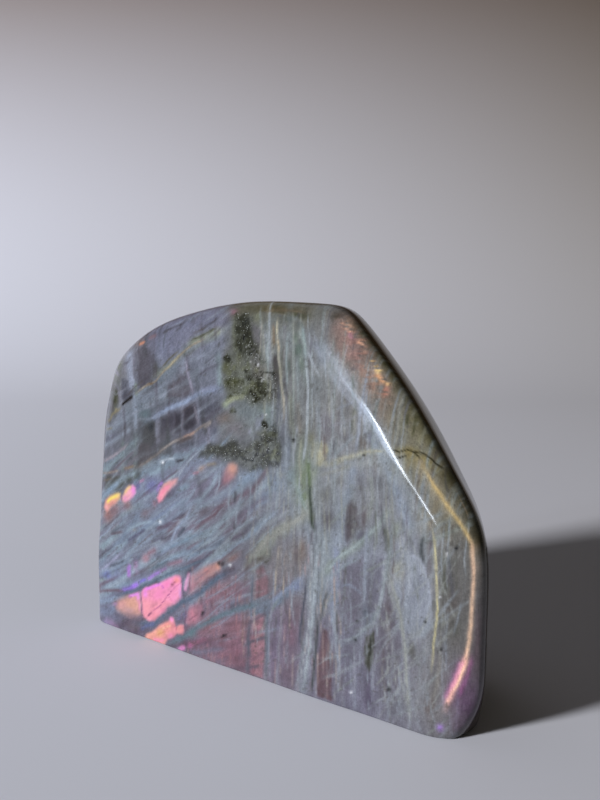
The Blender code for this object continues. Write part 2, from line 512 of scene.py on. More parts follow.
MARKS: tuple[Zone | Band | Patch, ...] = (
    # Upper left: dark blocks first, then the pale upright bands and the sloping veins over them.
    Zone((-60, 70), (1.9, 5), "#4a4c3c", 0.85), Zone((-59, 78), (1.7, 3.4), "#6a6f60", 0.8, -10),
    Patch(((-56.6, 69.4), (-57, 75.4), (-54, 75.6), (-51.6, 72), (-51.4, 70.6), (-54, 68.6)), "#5b5d66",
        0.85, 0.8),
    Patch(((-50.6, 73), (-51.6, 83), (-47, 85.6), (-43, 84), (-41.4, 79), (-43, 75.4), (-47, 74)),
        "#55535a", 0.85, 1.2), Zone((-42.3, 79.6), (1.2, 2.2), "#4b4b48", 0.8),
    Zone((-39.6, 86), (4.6, 4.4), "#787d90", 0.75, 20),
    Patch(((-36.4, 71.6), (-37, 75.6), (-33, 78.8), (-28.6, 78.6), (-27, 75), (-28, 73)), "#5f5c63", 0.9,
        0.8),
    Patch(((-29.2, 76), (-29, 82.4), (-24, 85.4), (-19, 86), (-17.4, 80), (-18, 76.4)), "#747984", 0.8, 1.2),
    Patch(((-32.6, 62), (-32.8, 67.6), (-28, 69.8), (-24.4, 70.2), (-23.6, 66), (-27, 63.6)), "#45434a",
        0.95, 0.7), Patch(((-38.4, 60.6), (-38.2, 65.4), (-33.4, 67), (-33.2, 62.6)), "#504f58", 0.9, 0.7),
    Patch(((-45.6, 55), (-46, 61), (-43.6, 66.4), (-41.4, 65), (-40.6, 58)), "#494b4c", 0.9, 0.8),
    Zone((-42.6, 62.8), (1, 1.3), "#33363a", 0.85), Zone((-19.4, 70.2), (4.4, 2.8), "#585a63", 0.85, 18),
    Zone((-45.4, 66), (2.6, 2), "#64757a", 0.7, 20),
    Patch(((-53.6, 50.4), (-53.4, 56), (-50.6, 57), (-50, 51.6)), "#53545a", 0.85, 0.7),
    Patch(((-48, 50.4), (-47.6, 57.4), (-42.6, 57.4), (-41.4, 54.4)), "#514d50", 0.85, 0.9),
    Patch(((-63.4, 46.6), (-62.6, 49.4), (-56.4, 52.6), (-55.6, 47.4)), "#4f5058", 0.9, 0.8),
    Patch(((-62.6, 41.4), (-61.6, 45.6), (-55.6, 46.4), (-53, 44.4), (-56, 41.8)), "#474742", 0.9, 0.7),
    Zone((-51.4, 46), (1.8, 1.4), "#44473e", 0.85), Zone((-60.6, 57.4), (3.4, 1), "#565866", 0.75, 24),
    Zone((-58, 61), (3.6, 0.9), "#5e626c", 0.6, 24), Zone((-38.4, 55.8), (3, 1.3), "#403c36", 0.9, 30),
    Zone((-26.6, 59.6), (4.4, 1.3), "#4e5058", 0.75, 16), Zone((-33, 57.6), (2.2, 1), "#60646e", 0.6, 25),
    Band(((-54.9, 84.6), (-53.8, 80), (-52.6, 76), (-51.4, 72.4)), 1.7, "#98a0b0", 0.9),
    Band(((-51.2, 73), (-50.4, 69.4), (-49.6, 64.6), (-49.4, 60)), 1.0, "#8c97a4", 0.85),
    Band(((-50.4, 75), (-49.6, 71)), 0.7, "#7a8a80"),
    Band(((-49.2, 60), (-48.8, 52), (-48.4, 45)), 0.9, "#717d7c", 0.85),
    Band(((-54.9, 58), (-54.4, 52), (-54.2, 46.4)), 0.8, "#6c7877", 0.85),
    Band(((-61.6, 80.6), (-60, 76.6), (-58.6, 72.6), (-57.2, 68.4)), 0.42, "#8b8b98", 0.75),
    Band(((-39.6, 65.8), (-39.6, 62), (-38.6, 58)), 0.85, "#7d7f8c", 0.85),
    Band(((-57.8, 82), (-57, 77)), 0.8, "#7c8088", 0.6),
    Band(((-30.2, 82.6), (-28.4, 78), (-26.2, 73.6)), 0.42, "#9795a4", 0.8),
    Band(((-29.7, 69.4), (-29.5, 63)), 0.35, "#6e6c76", 0.6),
    Band(((-25.6, 70.6), (-24.4, 67.4), (-23.2, 65)), 0.3, "#8a8893", 0.8),
    Band(((-34.6, 77.6), (-34, 72)), 0.3, "#757279", 0.5),
    Band(((-19.6, 65.4), (-18.6, 58.6)), 0.7, "#9698a8", 0.75),
    Band(((-17.8, 86), (-16.6, 80.6), (-15.6, 75.6)), 1.2, "#8d9ea2", 0.75),
    Band(((-41, 84.4), (-38.4, 79.4)), 0.7, "#858b9c", 0.5),
    Band(((-66, 53.6), (-61, 56), (-56, 58.4), (-50.6, 61.6)), 0.8, "#848e9a", 0.8),
    Band(((-65.6, 57.6), (-58, 61.6), (-52, 65)), 1.1, "#79838d"),
    Band(((-64.6, 49.4), (-60, 51.7), (-56, 53.9), (-52.4, 56.3)), 0.45, "#a09aa2", 0.9),
    Band(((-64.4, 61.4), (-61.6, 62.6), (-60.6, 64.4), (-58, 65.7), (-56.8, 67)), 0.42, "#86806a", 0.8),
    Band(((-64, 59.4), (-60, 60.8)), 0.3, "#7c765e", 0.6), Zone((-58.7, 65.9), (0.7, 0.45), "#a59a74", 0.8),
    Band(((-56.4, 67.7), (-55, 68.6), (-53.4, 69.6), (-51.8, 70.6)), 0.36, "#2e2b2a", 0.95, 0.05),
    Band(((-53, 69.7), (-51.6, 70.6)), 0.5, "#312e2d", 0.7, 0.1),
    Band(((-50, 69.4), (-46, 70.8), (-41, 73.4), (-36, 76.6), (-31.4, 78.9)), 1.3, "#7d8590", 0.8),
    Band(((-47.6, 68), (-42, 70.4), (-37, 73)), 0.8, "#88919b", 0.6),
    Band(((-43.6, 76.4), (-40, 78.7), (-36, 81.2), (-32, 83.8), (-28.6, 86.2)), 0.95, "#7f8478"),
    Band(((-30, 86.4), (-26, 88.4), (-21, 90.2), (-14.6, 92)), 1.2, "#888e80", 0.85),
    Band(((-30, 83.6), (-24, 87.6), (-17, 90)), 0.8, "#7f8886", 0.6),
    Band(((-50.6, 71.4), (-46.6, 73.9), (-42, 75.7), (-40, 77.8), (-36, 81), (-33, 83.4), (-30, 85.6),
        (-26, 87.8), (-21.6, 89.2)), 0.3, "#938a7a", 0.85),
    Band(((-38, 79.4), (-35, 82), (-32.4, 84.2)), 0.28, "#a8a28a", 0.8),
    Band(((-39.6, 80.2), (-36.6, 82.8), (-33, 85)), 0.3, "#5e5a4c"),
    Band(((-28, 88.4), (-24, 89.8), (-18.6, 92.2)), 0.3, "#565848", 0.75),
    Band(((-45.6, 74.6), (-42.6, 75.2)), 0.3, "#7e6c58"),
    Band(((-44.6, 64.4), (-40, 66.5), (-35, 68.8), (-30, 71), (-26, 72.9), (-20, 74.7), (-14.6, 76)), 0.95,
        "#8793a8", 0.9), Band(((-38, 67.6), (-32, 70), (-27, 72.2)), 0.5, "#97a6bd", 0.75),
    Band(((-24, 74), (-17, 76.4)), 0.6, "#9299ae"), Zone((-50.6, 86.4), (2, 1), "#8a7268"),
    Band(((-50.4, 86), (-49, 86.5), (-47.8, 86.9)), 0.42, "#c58c74", 0.95),
    Band(((-46.4, 88), (-43, 89)), 0.6, "#83696c", 0.6), Zone((-12.4, 96.8), (1.5, 0.8), "#94707a"),
    Band(((-64.4, 46), (-60, 46.9), (-56, 48)), 0.35, "#94877c", 0.8),
    Band(((-63.6, 43.8), (-59, 45.2)), 0.28, "#6f6659"),
    Band(((-53.8, 48.8), (-51.2, 49.6), (-49, 50.4)), 0.42, "#8d7a64", 0.85),
    Band(((-49, 49.8), (-45, 51.4), (-41, 53.8)), 0.7, "#5d5145"),
    Zone((-46.4, 50.6), (0.9, 0.9), "#6c5040"), Zone((-47, 48), (2, 1.2), "#4c554c", 0.6, 20),
    Band(((-48.4, 50), (-44, 52.1), (-40, 54.6), (-37, 56.8), (-33, 59.2), (-30, 60.6), (-26.5, 62.1),
        (-23.6, 63.8), (-18.2, 67.4)), 0.34, "#8c837c", 0.8),
    Band(((-38.6, 55.6), (-34.6, 58.4), (-31, 60.2)), 0.32, "#9c9690", 0.75),
    Band(((-29, 61.2), (-26.4, 62.2), (-24.8, 63)), 0.36, "#a58a7e", 0.85),
    Band(((-30.4, 59.8), (-26, 61.4)), 0.5, "#544a48", 0.8),
    Band(((-21.4, 64.6), (-18.4, 66.8)), 0.5, "#958f8a"),
    # Middle left: a teal haze under the vein, and the veils that fan out from the left edge.
    Patch(((-45.4, 49), (-41, 48.8), (-36, 51), (-30.6, 53), (-25, 55), (-26, 57.4), (-32, 56.2),
        (-37.6, 55), (-40.4, 52.4)), "#7c8c99", 0.85, 0.9),
    Band(((-42.6, 48.8), (-39.6, 49.9), (-37.4, 52.4)), 0.7, "#91a6b2", 0.8),
    Band(((-39, 52.6), (-36, 53.8), (-32, 54.6)), 0.4, "#a9b8c2", 0.8),
    Band(((-31.6, 54.2), (-30.4, 54), (-28.2, 54.6)), 0.3, "#2c2a2e", 0.95, 0.1),
    Band(((-27, 57.6), (-20, 59.5)), 1.0, "#7f8d9a", 0.6), Zone((-26, 55.4), (3, 1.4), "#6f7480", 0.6, 20),
    Zone((-60.6, 29), (3, 5), "#76707e", 0.8), Zone((-21, 49), (6, 2.4), "#6f6a7a", 0.6, 15),
    Zone((-18.4, 42), (3.4, 2.2), "#64585f", 0.8, 25), Zone((-10.4, 37.4), (2.8, 1.7), "#6a5a60", 0.75, 20),
    Zone((-22.6, 36), (2, 1.6), "#7d626c", 0.7, 20), Zone((-13, 43), (2.4, 1.8), "#6a5f68", 0.6, 20),
    Zone((-5.2, 47), (1.6, 1.2), "#665658", 0.8), Zone((-4.8, 41.6), (1.2, 2.2), "#5a4e54", 0.8),
    Zone((-13, 49), (5, 2.4), "#7b7180", 0.6, 20), Zone((-24, 46), (4, 1.6), "#6f6878", 0.7, 30),
    Band(((-66, 17), (-60, 21.6), (-54, 27.6), (-48, 33.6), (-44, 39)), 1.1, "#7f90a4", 0.8),
    Band(((-66, 21), (-60, 26), (-54, 32.4), (-50, 37.4)), 0.7, "#8b99ac"),
    Band(((-64, 13), (-57, 17.4), (-51, 22.4), (-46, 28), (-41.4, 34)), 0.9, "#7b8ca0", 0.8),
    Band(((-64, 15.6), (-58.6, 19.4), (-54, 23.4)), 0.35, "#a0a4bc", 0.8),
    Band(((-66, 24.6), (-60.6, 29), (-56, 34)), 0.45, "#90a0b2"),
    Band(((-66, 30), (-57, 37)), 0.6, "#7d8a9c", 0.6),
    Band(((-65, 15.6), (-60, 17), (-57, 18.4), (-53.6, 21), (-50, 24), (-46, 26.6)), 0.6, "#93a2b2", 0.85),
    Band(((-58, 22), (-52, 27), (-47, 30.6), (-41, 34), (-36, 36)), 0.8, "#879bad", 0.8),
    Band(((-52, 30), (-46, 33.4), (-40, 35.4)), 0.55, "#9bb0bf", 0.85),
    Band(((-46, 36.6), (-40, 41), (-36.4, 44.6)), 1.0, "#7e90a4", 0.8),
    Band(((-44, 33), (-37, 37.6), (-31, 41.6), (-26.6, 43.6)), 0.8, "#8293ae", 0.75),
    Band(((-36, 42), (-30, 45.6), (-25, 48.6)), 0.8, "#8195a2"),
    Band(((-64, 10.5), (-60, 12), (-56, 14.4), (-50, 18), (-46, 20.6), (-41, 23.4), (-36, 25)), 0.85,
        "#8598a9", 0.85), Band(((-66, 12.6), (-61, 14), (-56, 17.4)), 0.5, "#8a9a98"),
    Band(((-38, 23), (-33.6, 25.2), (-29, 27.6), (-24, 29)), 0.6, "#8ea2b4", 0.8),
    Band(((-36, 26), (-32.6, 30), (-30.6, 34), (-26.6, 38.6), (-24, 43)), 0.5, "#9aaac0"),
    Band(((-36, 28), (-29, 32.4), (-22, 36.6)), 0.55, "#8d9eae"),
    Band(((-33, 26.4), (-26, 29.6), (-18, 33.4), (-9, 37)), 0.8, "#7f92a2", 0.75),
    Band(((-28, 36.6), (-25, 40), (-22.6, 42.8), (-19.4, 46.4), (-16.4, 50), (-14.4, 54)), 0.85, "#93a4b2",
        0.85), Band(((-24, 40.4), (-17, 45), (-10, 49.6)), 0.5, "#8c9aa8"),
    Band(((-30, 40), (-26, 44), (-23, 48)), 0.5, "#8798a8", 0.6),
    Band(((-26, 31), (-18, 36), (-11, 41), (-3, 49)), 0.65, "#8c9ca8"),
    Band(((-21, 31), (-14, 36), (-8, 41.4)), 0.5, "#97a6b0"),
    Band(((-14.4, 54), (-14, 50.4), (-15.6, 47)), 0.35, "#9aa8b4"),
    Band(((-9.4, 52), (-10.4, 47), (-9.8, 42), (-11, 38)), 0.4, "#97a3ae", 0.75),
    Band(((-6.8, 55), (-6, 49), (-7.4, 43), (-7, 38)), 0.4, "#93a0ac", 0.75),
    Band(((-3, 53), (-2.6, 46), (-4.4, 39)), 0.4, "#909ca6", 0.6),
    Band(((-12, 33), (-7, 38), (-2, 42)), 0.5, "#8e9ca6", 0.6),
    Band(((-8.2, 49), (-8, 45.6)), 0.5, "#4d4c54", 0.8), Band(((-8, 40.6), (-7.6, 38.6)), 0.5, "#515058"),
    Band(((-32.6, 36.8), (-30, 38), (-26.8, 39.6)), 0.75, "#565362", 0.9),
    Band(((-38.6, 33.4), (-34.6, 35.2), (-31.6, 36.6)), 0.6, "#65596a", 0.8),
    Band(((-37, 30.8), (-34, 31.6), (-32, 33)), 0.5, "#5b5a68", 0.8),
    Band(((-29.6, 32.6), (-28, 34.4), (-26.4, 36)), 0.45, "#4f5663", 0.8),
    Band(((-51, 27.6), (-47, 30), (-43, 32.6)), 0.5, "#61627a", 0.8),
    Zone((-44, 37), (2, 1.4), "#72666e", 0.7, 30),
    Band(((-58.6, 18.6), (-55, 20), (-52, 22)), 0.45, "#58606e", 0.8),
    Band(((-48, 22.6), (-44, 24.6)), 0.6, "#5e6878"),
    Band(((-62, 9), (-57, 11), (-52, 13.4)), 0.7, "#65717f"),
    Band(((-40, 21.4), (-36, 23.4), (-32, 25.4)), 0.5, "#60707c"),
    Band(((-64, 6.6), (-59, 8), (-55, 10)), 0.6, "#8696ac"),
    Band(((-52, 12.8), (-47, 15)), 0.4, "#69739a", 0.6), Zone((-48, 31.4), (0.9, 0.5), "#a3a6a0", 0.6, 15),
    Zone((-37.5, 35.8), (1.6, 0.6), "#93a3b2", 0.6, 25), Zone((-31, 28), (3, 0.9), "#75667a", 0.6, 25),
    Zone((-23, 26.6), (3, 1), "#7a6676", 0.6, 25), Zone((-25, 23.8), (2, 0.7), "#5c6a74", 0.6, 25),
    # Centre: the ground of the granular dark clusters, with a light greenish edge.
    Patch(((-15, 86), (-11.6, 88), (-11, 95.6), (-6, 96), (-4.6, 90), (-4, 84), (4.6, 82.6), (5, 75),
        (-1, 73), (-6, 74.4), (-12.8, 73.4), (-15.4, 79)), "#686b64", 0.7, 1.9),
    Patch(((-22, 57.4), (-14, 61.6), (-3, 61.6), (1, 65.6), (5, 66), (7, 59.4), (4, 57), (-5, 55.6),
        (-14, 57)), "#5e615e", 0.7, 2.0),
    Patch(((-5.6, 93.6), (-5.4, 84), (-2, 82.6), (-2, 92.6)), "#6a696b", 0.8, 0.9),
    Patch(((-1.6, 92), (-0.4, 80.4), (2.2, 80), (2.4, 91)), "#8a8f93", 0.75, 0.9),
    Patch(((2.4, 86), (2.4, 75), (5.2, 75), (5, 80), (3.8, 86.4)), "#4e4c4c", 0.85, 0.7),
    Patch(((-4.8, 83.4), (-4.4, 79.8), (1.8, 79.6), (1.6, 83)), "#7f7a76", 0.65, 0.8),
    Patch(((-9.4, 80), (-8, 82), (-5.4, 80.6), (-5.6, 77), (-8.4, 76.6)), "#7a8076", 0.7, 0.7),
    Zone((-2.6, 77.8), (2.2, 1.1), "#7a7a4e"), Zone((-13.8, 81.8), (1.7, 1.7), "#5d6046", 0.75),
    Zone((-11.4, 77.2), (1.9, 1.7), "#62644c", 0.75), Zone((-9.6, 84.6), (1, 3), "#60624a", 0.6),
    Zone((-11.6, 91.6), (1, 3.4), "#6c705c", 0.6), Zone((-6.8, 75.8), (1.2, 0.8), "#8f9a90", 0.85),
    Band(((-14, 71.4), (-12.4, 72.6), (-10, 73.8), (-8, 74.4), (-6.4, 75.6)), 0.75, "#93997f", 0.85),
    Zone((-13.4, 71.6), (1.4, 1.1), "#8f9986", 0.8), Band(((-3.6, 96.6), (-3.2, 94.6)), 1.2, "#7c8168", 0.8),
    Zone((1.2, 71.6), (2.8, 1.7), "#7f8f8b", 0.75), Zone((-1.4, 68), (0.9, 2), "#9297a4"),
    Zone((-4, 65.4), (0.7, 0.7), "#9aa0ae", 0.8), Zone((-5, 70), (4, 2.6), "#757f82", 0.6),
    Zone((-13, 68), (3.6, 1.6), "#7a7068", 0.6, 10), Zone((-9, 65.4), (4.4, 2.2), "#787478", 0.6),
    Zone((5.8, 61.6), (1.4, 3.4), "#4b5156", 0.8, 12), Zone((3, 68.6), (1.4, 2), "#74807e", 0.5),
    Zone((-17, 64.6), (1.2, 1.2), "#595c68"), Band(((-0.6, 67), (0.4, 71)), 0.5, "#8e94a2", 0.6),
    Zone((8, 58), (3, 1.6), "#939daa"), Zone((-3, 53.4), (4.6, 1.7), "#7e8b9a", 0.8, 8),
    Zone((5.6, 53), (4.6, 2.4), "#7d8a9a", 0.8), Zone((7.4, 68.6), (1.8, 4), "#777b84", 0.6, 10),
    Zone((9.4, 62), (1.4, 3), "#7e8894", 0.6), Zone((3, 97.8), (6, 0.9), "#58503c", 0.8),
    Band(((-1, 97), (5, 97.8), (12, 97.2)), 0.35, "#696050", 0.6),
    Zone((10, 96.4), (3, 0.8), "#474938", 0.75), Zone((7, 95.6), (2, 0.8), "#3d3f30"),
    Zone((20.4, 96.6), (1.3, 0.9), "#3a3a32", 0.8),
    # Upper right: upright threads, the tan streak, green stains, the cross vein and the yellowish patch.
    Band(((3.1, 95.6), (3.3, 92), (3.9, 88), (4.3, 85.4), (5, 82), (5.6, 78.4), (6.6, 75), (7.4, 71.4)),
        0.36, "#a9a898", 0.9, 0.1), Band(((3, 95), (3.2, 91)), 0.28, "#bcb699", 0.8),
    Band(((3.6, 90), (4.2, 87)), 0.28, "#b0a288", 0.75),
    Band(((1.9, 94), (2.2, 91), (2.6, 88.4)), 0.5, "#7c6d58", 0.75),
    Zone((2.4, 89.6), (0.8, 1.4), "#807568", 0.6),
    Band(((0.2, 90), (0.4, 86), (1, 81)), 0.4, "#a3b0b0", 0.85),
    Band(((-2.3, 95), (-2.2, 89), (-2.6, 84)), 0.25, "#99988f"),
    Band(((1.7, 79.6), (1.9, 77), (2, 75)), 0.28, "#a9a999", 0.8),
    Band(((5.4, 95), (5.9, 90), (6.3, 84)), 0.5, "#7f8082"),
    Band(((6.6, 92), (7, 84), (7.6, 78)), 0.4, "#92a0a0", 0.75),
    Band(((8.9, 90), (9.4, 84), (9.8, 78), (10.6, 70)), 0.35, "#97a29c"),
    Band(((4.6, 79), (5, 74), (5.6, 68)), 0.8, "#6b6f76", 0.6),
    Band(((8.6, 77), (9.6, 71), (11, 65)), 0.9, "#7d8376", 0.65),
    Band(((11.6, 75), (12.4, 71), (12.9, 66)), 0.7, "#85827a", 0.6),
    Band(((6, 77), (6.9, 72.6), (7.4, 69)), 0.25, "#9c968a"),
    Band(((11.2, 94), (12.2, 90.4), (13.2, 86)), 0.5, "#8ea09c", 0.8),
    Band(((10.2, 92.6), (12, 90), (13.4, 87.6)), 0.35, "#98a6a0", 0.75),
    Band(((13, 88), (13.7, 84), (14.3, 80), (14.9, 75), (15, 70), (15, 64), (14.7, 58)), 0.38, "#a1abae",
        0.9), Band(((14.4, 79), (14.8, 72)), 0.3, "#aeb6bc", 0.6),
    Band(((13.4, 88), (15.6, 85), (17.2, 82.8), (18.4, 81.4)), 0.32, "#a3acb0", 0.8),
    Band(((14.6, 93), (16.4, 90), (18, 86.4)), 0.4, "#8e949a", 0.6),
    Band(((10.4, 86), (10.9, 80), (11.6, 74)), 0.3, "#8d9898"),
    Band(((12, 69), (11.6, 64), (11.8, 58)), 0.4, "#989fa4"),
    Zone((10.8, 87.8), (1.2, 1.7), "#4a5a48", 0.85), Zone((9.4, 90.6), (1.2, 1.4), "#606c5c", 0.75),
    Zone((8.2, 93.4), (1, 1.4), "#6f7568", 0.6), Zone((12, 84.6), (1.1, 2.4), "#687a6a"),
    Zone((8, 83.4), (0.7, 1.6), "#5d665f", 0.75), Zone((10.6, 94), (1.2, 0.8), "#565c54"),
    Zone((6.8, 78.6), (0.8, 0.8), "#4f4e4c", 0.8), Zone((13.6, 82), (0.9, 3), "#74807c", 0.5),
    Zone((17.4, 79), (2.4, 3.4), "#70787a", 0.6), Zone((16.8, 89.6), (1.6, 1.6), "#696b6e", 0.6),
    Zone((21.4, 84.6), (1.6, 1.8), "#6c6e5e", 0.6), Zone((16.6, 72.6), (1.1, 4), "#6d7071", 0.6),
    Zone((26.6, 74.6), (1.3, 2.6), "#67676b", 0.65), Zone((22.4, 77.4), (3.2, 2.2), "#77787a", 0.5),
    Zone((21.6, 70), (3.4, 3), "#726f76", 0.65), Zone((27.4, 67.4), (1.4, 1.7), "#5f5d60"),
    Zone((33.2, 66.6), (1.9, 1.9), "#645b52", 0.75), Zone((23.8, 64.6), (1.2, 1.7), "#636467", 0.8),
    Zone((34.8, 68), (1.5, 1.6), "#7b7f8c", 0.6), Zone((19, 66.6), (2, 1.1), "#6e6a6c", 0.6),
    Zone((33, 63.6), (0.5, 0.3), "#3a3833", 0.9), Zone((26.6, 62), (2, 0.8), "#6b6a66", 0.55, 15),
    Patch(((17.1, 64.8), (19.4, 65.6), (21.4, 65), (22.2, 63.6), (21.4, 61), (20.4, 59.4), (18.4, 59.4),
        (17.2, 61.6)), "#a19f84", 0.95, 0.7), Zone((20.2, 62.6), (1.3, 1.6), "#b3b094", 0.75),
    Zone((16.6, 66), (1, 1.4), "#7c7d68", 0.6),
    Band(((19.4, 60), (22, 60.2), (24.6, 60.8), (28, 62.3), (31, 63.2), (34, 64.4), (38, 65.3),
        (41.6, 65.9)), 0.8, "#9b9c8b", 0.85),
    Band(((24, 61.4), (29, 62.8), (34, 64.6), (39.4, 65.6)), 0.28, "#acac9a", 0.75),
    Band(((27, 60.4), (32, 61.2), (37, 62.4), (41, 63.4)), 1.0, "#919694", 0.65),
    Band(((41, 65.8), (44.4, 66), (47, 65.2), (50, 63.4), (53.4, 61)), 1.1, "#91875f", 0.8),
    Zone((46.4, 64), (2.4, 1.4), "#9a8f68", 0.7, -35),
    Band(((19.6, 56.6), (24, 58.4), (30, 60.8)), 0.5, "#8f928b", 0.6),
    Band(((26.6, 58.2), (29.6, 60.2)), 0.9, "#8b8f8c", 0.5),
    Band(((31.3, 84), (31.3, 76), (31.2, 68), (30.6, 63)), 0.45, "#98a0aa", 0.85),
    Band(((30.4, 62), (30, 56), (28.6, 51), (27, 46)), 1.3, "#8f9aa6", 0.75),
    Band(((31.9, 80), (32.6, 73), (33.2, 68)), 0.28, "#9aa3ae", 0.75),
    Band(((25.6, 79), (26, 74), (27.4, 69)), 0.32, "#8e969c"),
    Band(((28.4, 72), (28.8, 66)), 0.34, "#8f979e", 0.6),
    Band(((21, 92), (21.6, 84), (21.4, 76)), 0.4, "#868d8a", 0.6),
    Band(((18.4, 76), (18.6, 68)), 0.4, "#858c90", 0.6), Band(((24, 74), (29, 76.4)), 0.3, "#8d949c", 0.6),
    Band(((22, 69.6), (28.4, 72), (31, 74)), 0.3, "#8b8e94", 0.55),
    Band(((35.4, 59.6), (36.2, 54), (35.6, 48)), 0.6, "#8f9690", 0.65),
    Zone((38, 57.4), (1.5, 2.4), "#5e5f62", 0.75), Zone((42.4, 56.4), (1.4, 2.2), "#676970", 0.65),
    Zone((33, 57), (1.1, 2.2), "#67676c", 0.65), Zone((25.6, 56.4), (2.6, 1.4), "#6c6c68", 0.65, 30),
    Zone((22.4, 52.6), (2.2, 2.4), "#666864"), Zone((23.4, 46.2), (2.6, 2.8), "#5c5c5e", 0.85),
    Band(((16.2, 60), (16.9, 56.6), (17.4, 53)), 0.6, "#5f6f4c", 0.8),
    Band(((17.2, 54), (17.6, 50.6), (18.2, 47.4), (18.6, 44.6), (19.6, 42.8)), 0.42, "#2e3827", 0.95, 0.15),
    Zone((14.6, 56), (2, 3.4), "#6f7c60", 0.75), Zone((16, 50.6), (1.7, 2.2), "#77866a"),
    Zone((18.4, 57.6), (1, 2), "#87907a", 0.6), Band(((13.4, 66), (13.6, 60), (14.4, 54)), 0.4, "#989c88"),
    Band(((12.6, 54), (15, 50), (17, 47.6)), 0.5, "#8a9a94"), Zone((11, 55.4), (1.6, 2.4), "#7f9094", 0.6),
    Zone((19, 46), (0.8, 1.6), "#5c6450", 0.6),
    # Lower right: the pale upright band and its branches, reddish gaps, and the pale oval.
    Patch(((18.8, 43), (24.4, 43.4), (25.6, 38), (24.8, 32), (23.2, 27), (21.6, 29), (19.4, 27),
        (19.2, 34)), "#8f9a9e", 0.62, 1.9),
    Patch(((18.6, 30), (23.2, 30), (21.6, 20), (20.4, 10), (19.8, 0), (16, 0), (17.6, 8), (18.8, 18)),
        "#8c979e", 0.6, 1.7),
    Band(((20.4, 41), (20.6, 32), (20.4, 24), (19.6, 12), (18, 1)), 0.42, "#a4afb4", 0.85),
    Band(((22.8, 42), (22.6, 36), (23, 31)), 0.45, "#a1acb0", 0.75),
    Band(((16, 1), (17.4, 10), (18.2, 16)), 0.4, "#98a2a8", 0.65),
    Band(((19.2, 44), (19, 36), (19.4, 26), (18.6, 14), (17, 2)), 0.22, "#aab2b6"),
    Band(((21.8, 43), (21.6, 34), (21.4, 22), (20.6, 10)), 0.2, "#6a7074", 0.6),
    Band(((18.4, 24), (17.8, 14), (16.8, 4)), 0.22, "#666a72", 0.55),
    Patch(((-3.6, 28.6), (-2, 33), (2, 38.4), (7, 42), (13, 45.8), (17, 49.6), (17.6, 46.4), (14, 42.4),
        (8.6, 39.6), (5, 35.6), (2, 31.6), (0, 29)), "#8d928a", 0.9, 1.5),
    Band(((-2, 31), (3, 37), (9, 41.4), (15, 45.4), (17.4, 47.6)), 0.6, "#979a92"),
    Band(((2, 41), (8, 44.6), (14, 48)), 0.55, "#8c9498"),
    Patch(((22, 31.6), (24, 36), (28, 39.6), (33, 43.2), (38, 48), (40.6, 52), (42, 51), (38.6, 46),
        (34.6, 41.6), (29.4, 37.6), (25.6, 33.4)), "#87928f", 0.8, 0.8),
    Band(((23.4, 33), (28, 38), (33.6, 42.4), (38.4, 47.4)), 0.4, "#9aa8a8", 0.85),
    Band(((24, 31), (29, 35.4), (33.6, 38.4)), 0.35, "#8e9aa2"),
    Band(((-3, 15.4), (2, 18.2), (6, 20.4), (10, 23.4), (13.6, 26.8), (16.8, 29.6)), 1.25, "#6e7a88", 0.9),
    Band(((6, 21.4), (11, 25.6), (16.6, 30.6)), 0.6, "#8490a6", 0.8),
    Zone((14.6, 27.6), (2, 1.6), "#7d86a2", 0.75, 40),
    Band(((-2, 19.4), (4, 22.6), (10, 27.4)), 0.4, "#788490", 0.6),
    Patch(((25.4, 40), (27.8, 39.4), (28.2, 30), (27.8, 22), (26, 20), (25.8, 30)), "#8b95a8", 0.8, 0.7),
    Band(((26.6, 26), (27.4, 20), (28.4, 15), (30, 10)), 0.5, "#929ca8", 0.75),
    Band(((28.6, 55), (28.2, 47), (27, 40)), 1.0, "#8c97a2", 0.75),
    Patch(((28.9, 50.6), (30.4, 52.4), (32.2, 50.4), (32.8, 46.4), (31.2, 43), (29.4, 42.4), (28.9, 46)),
        "#4e4649", 0.85, 1.0), Zone((34.4, 48.4), (1, 2.4), "#5c5254", 0.75),
    Zone((33.6, 44), (1.8, 0.8), "#5c5a66", 0.7, 40),
    Patch(((28.8, 34.6), (34.6, 38.8), (35, 29), (34, 22), (29.4, 24), (28.6, 30)), "#6e6c78", 0.85, 1.0),
    Patch(((36.6, 37), (40.4, 40), (40, 30), (37.6, 23.6), (36.2, 28)), "#6b6b77", 0.75, 0.8),
    Patch(((40.4, 29), (44, 30), (47, 20), (47.6, 8), (45, 4), (42, 6), (40.4, 16)), "#67646d", 0.8, 1.2),
    Band(((35.3, 48), (35.4, 42), (35.6, 34), (36.2, 27)), 0.42, "#939ca8", 0.85),
    Band(((36, 26), (35.4, 18), (35.4, 10)), 0.3, "#8c929c"), Band(((38, 46), (37.8, 41)), 0.35, "#8f9694"),
    Band(((37.2, 36), (37.6, 31)), 0.3, "#8a909a", 0.6),
    Band(((40.3, 47.4), (41.2, 44), (41.4, 41)), 0.75, "#494c40", 0.9),
    Band(((45, 50), (45.6, 46.4)), 0.7, "#606468", 0.75),
    Band(((47.4, 46.4), (48.4, 43.8)), 0.5, "#6a6d70", 0.6),
    Band(((51, 46.6), (50.9, 43), (51.6, 40.6)), 0.6, "#4f5455", 0.9),
    Zone((43.6, 47), (1.1, 2.2), "#87907e", 0.6),
    Patch(((42.4, 38), (43.6, 41.2), (46, 42.6), (49, 42.2), (51.6, 40), (53.6, 36), (54.6, 31), (54.6, 26),
        (53, 23.4), (49.8, 22.6), (47.4, 25), (45.4, 30)), "#8f969f", 0.9, 0.8),
    Zone((44.8, 37.6), (2, 2.2), "#8a8b7c"), Zone((50.6, 33), (2.4, 4.4), "#8a8f9c", 0.5),
    Band(((46, 42), (49.6, 41.6), (52, 39), (53.8, 34), (54.4, 28)), 0.4, "#9da4ae", 0.85),
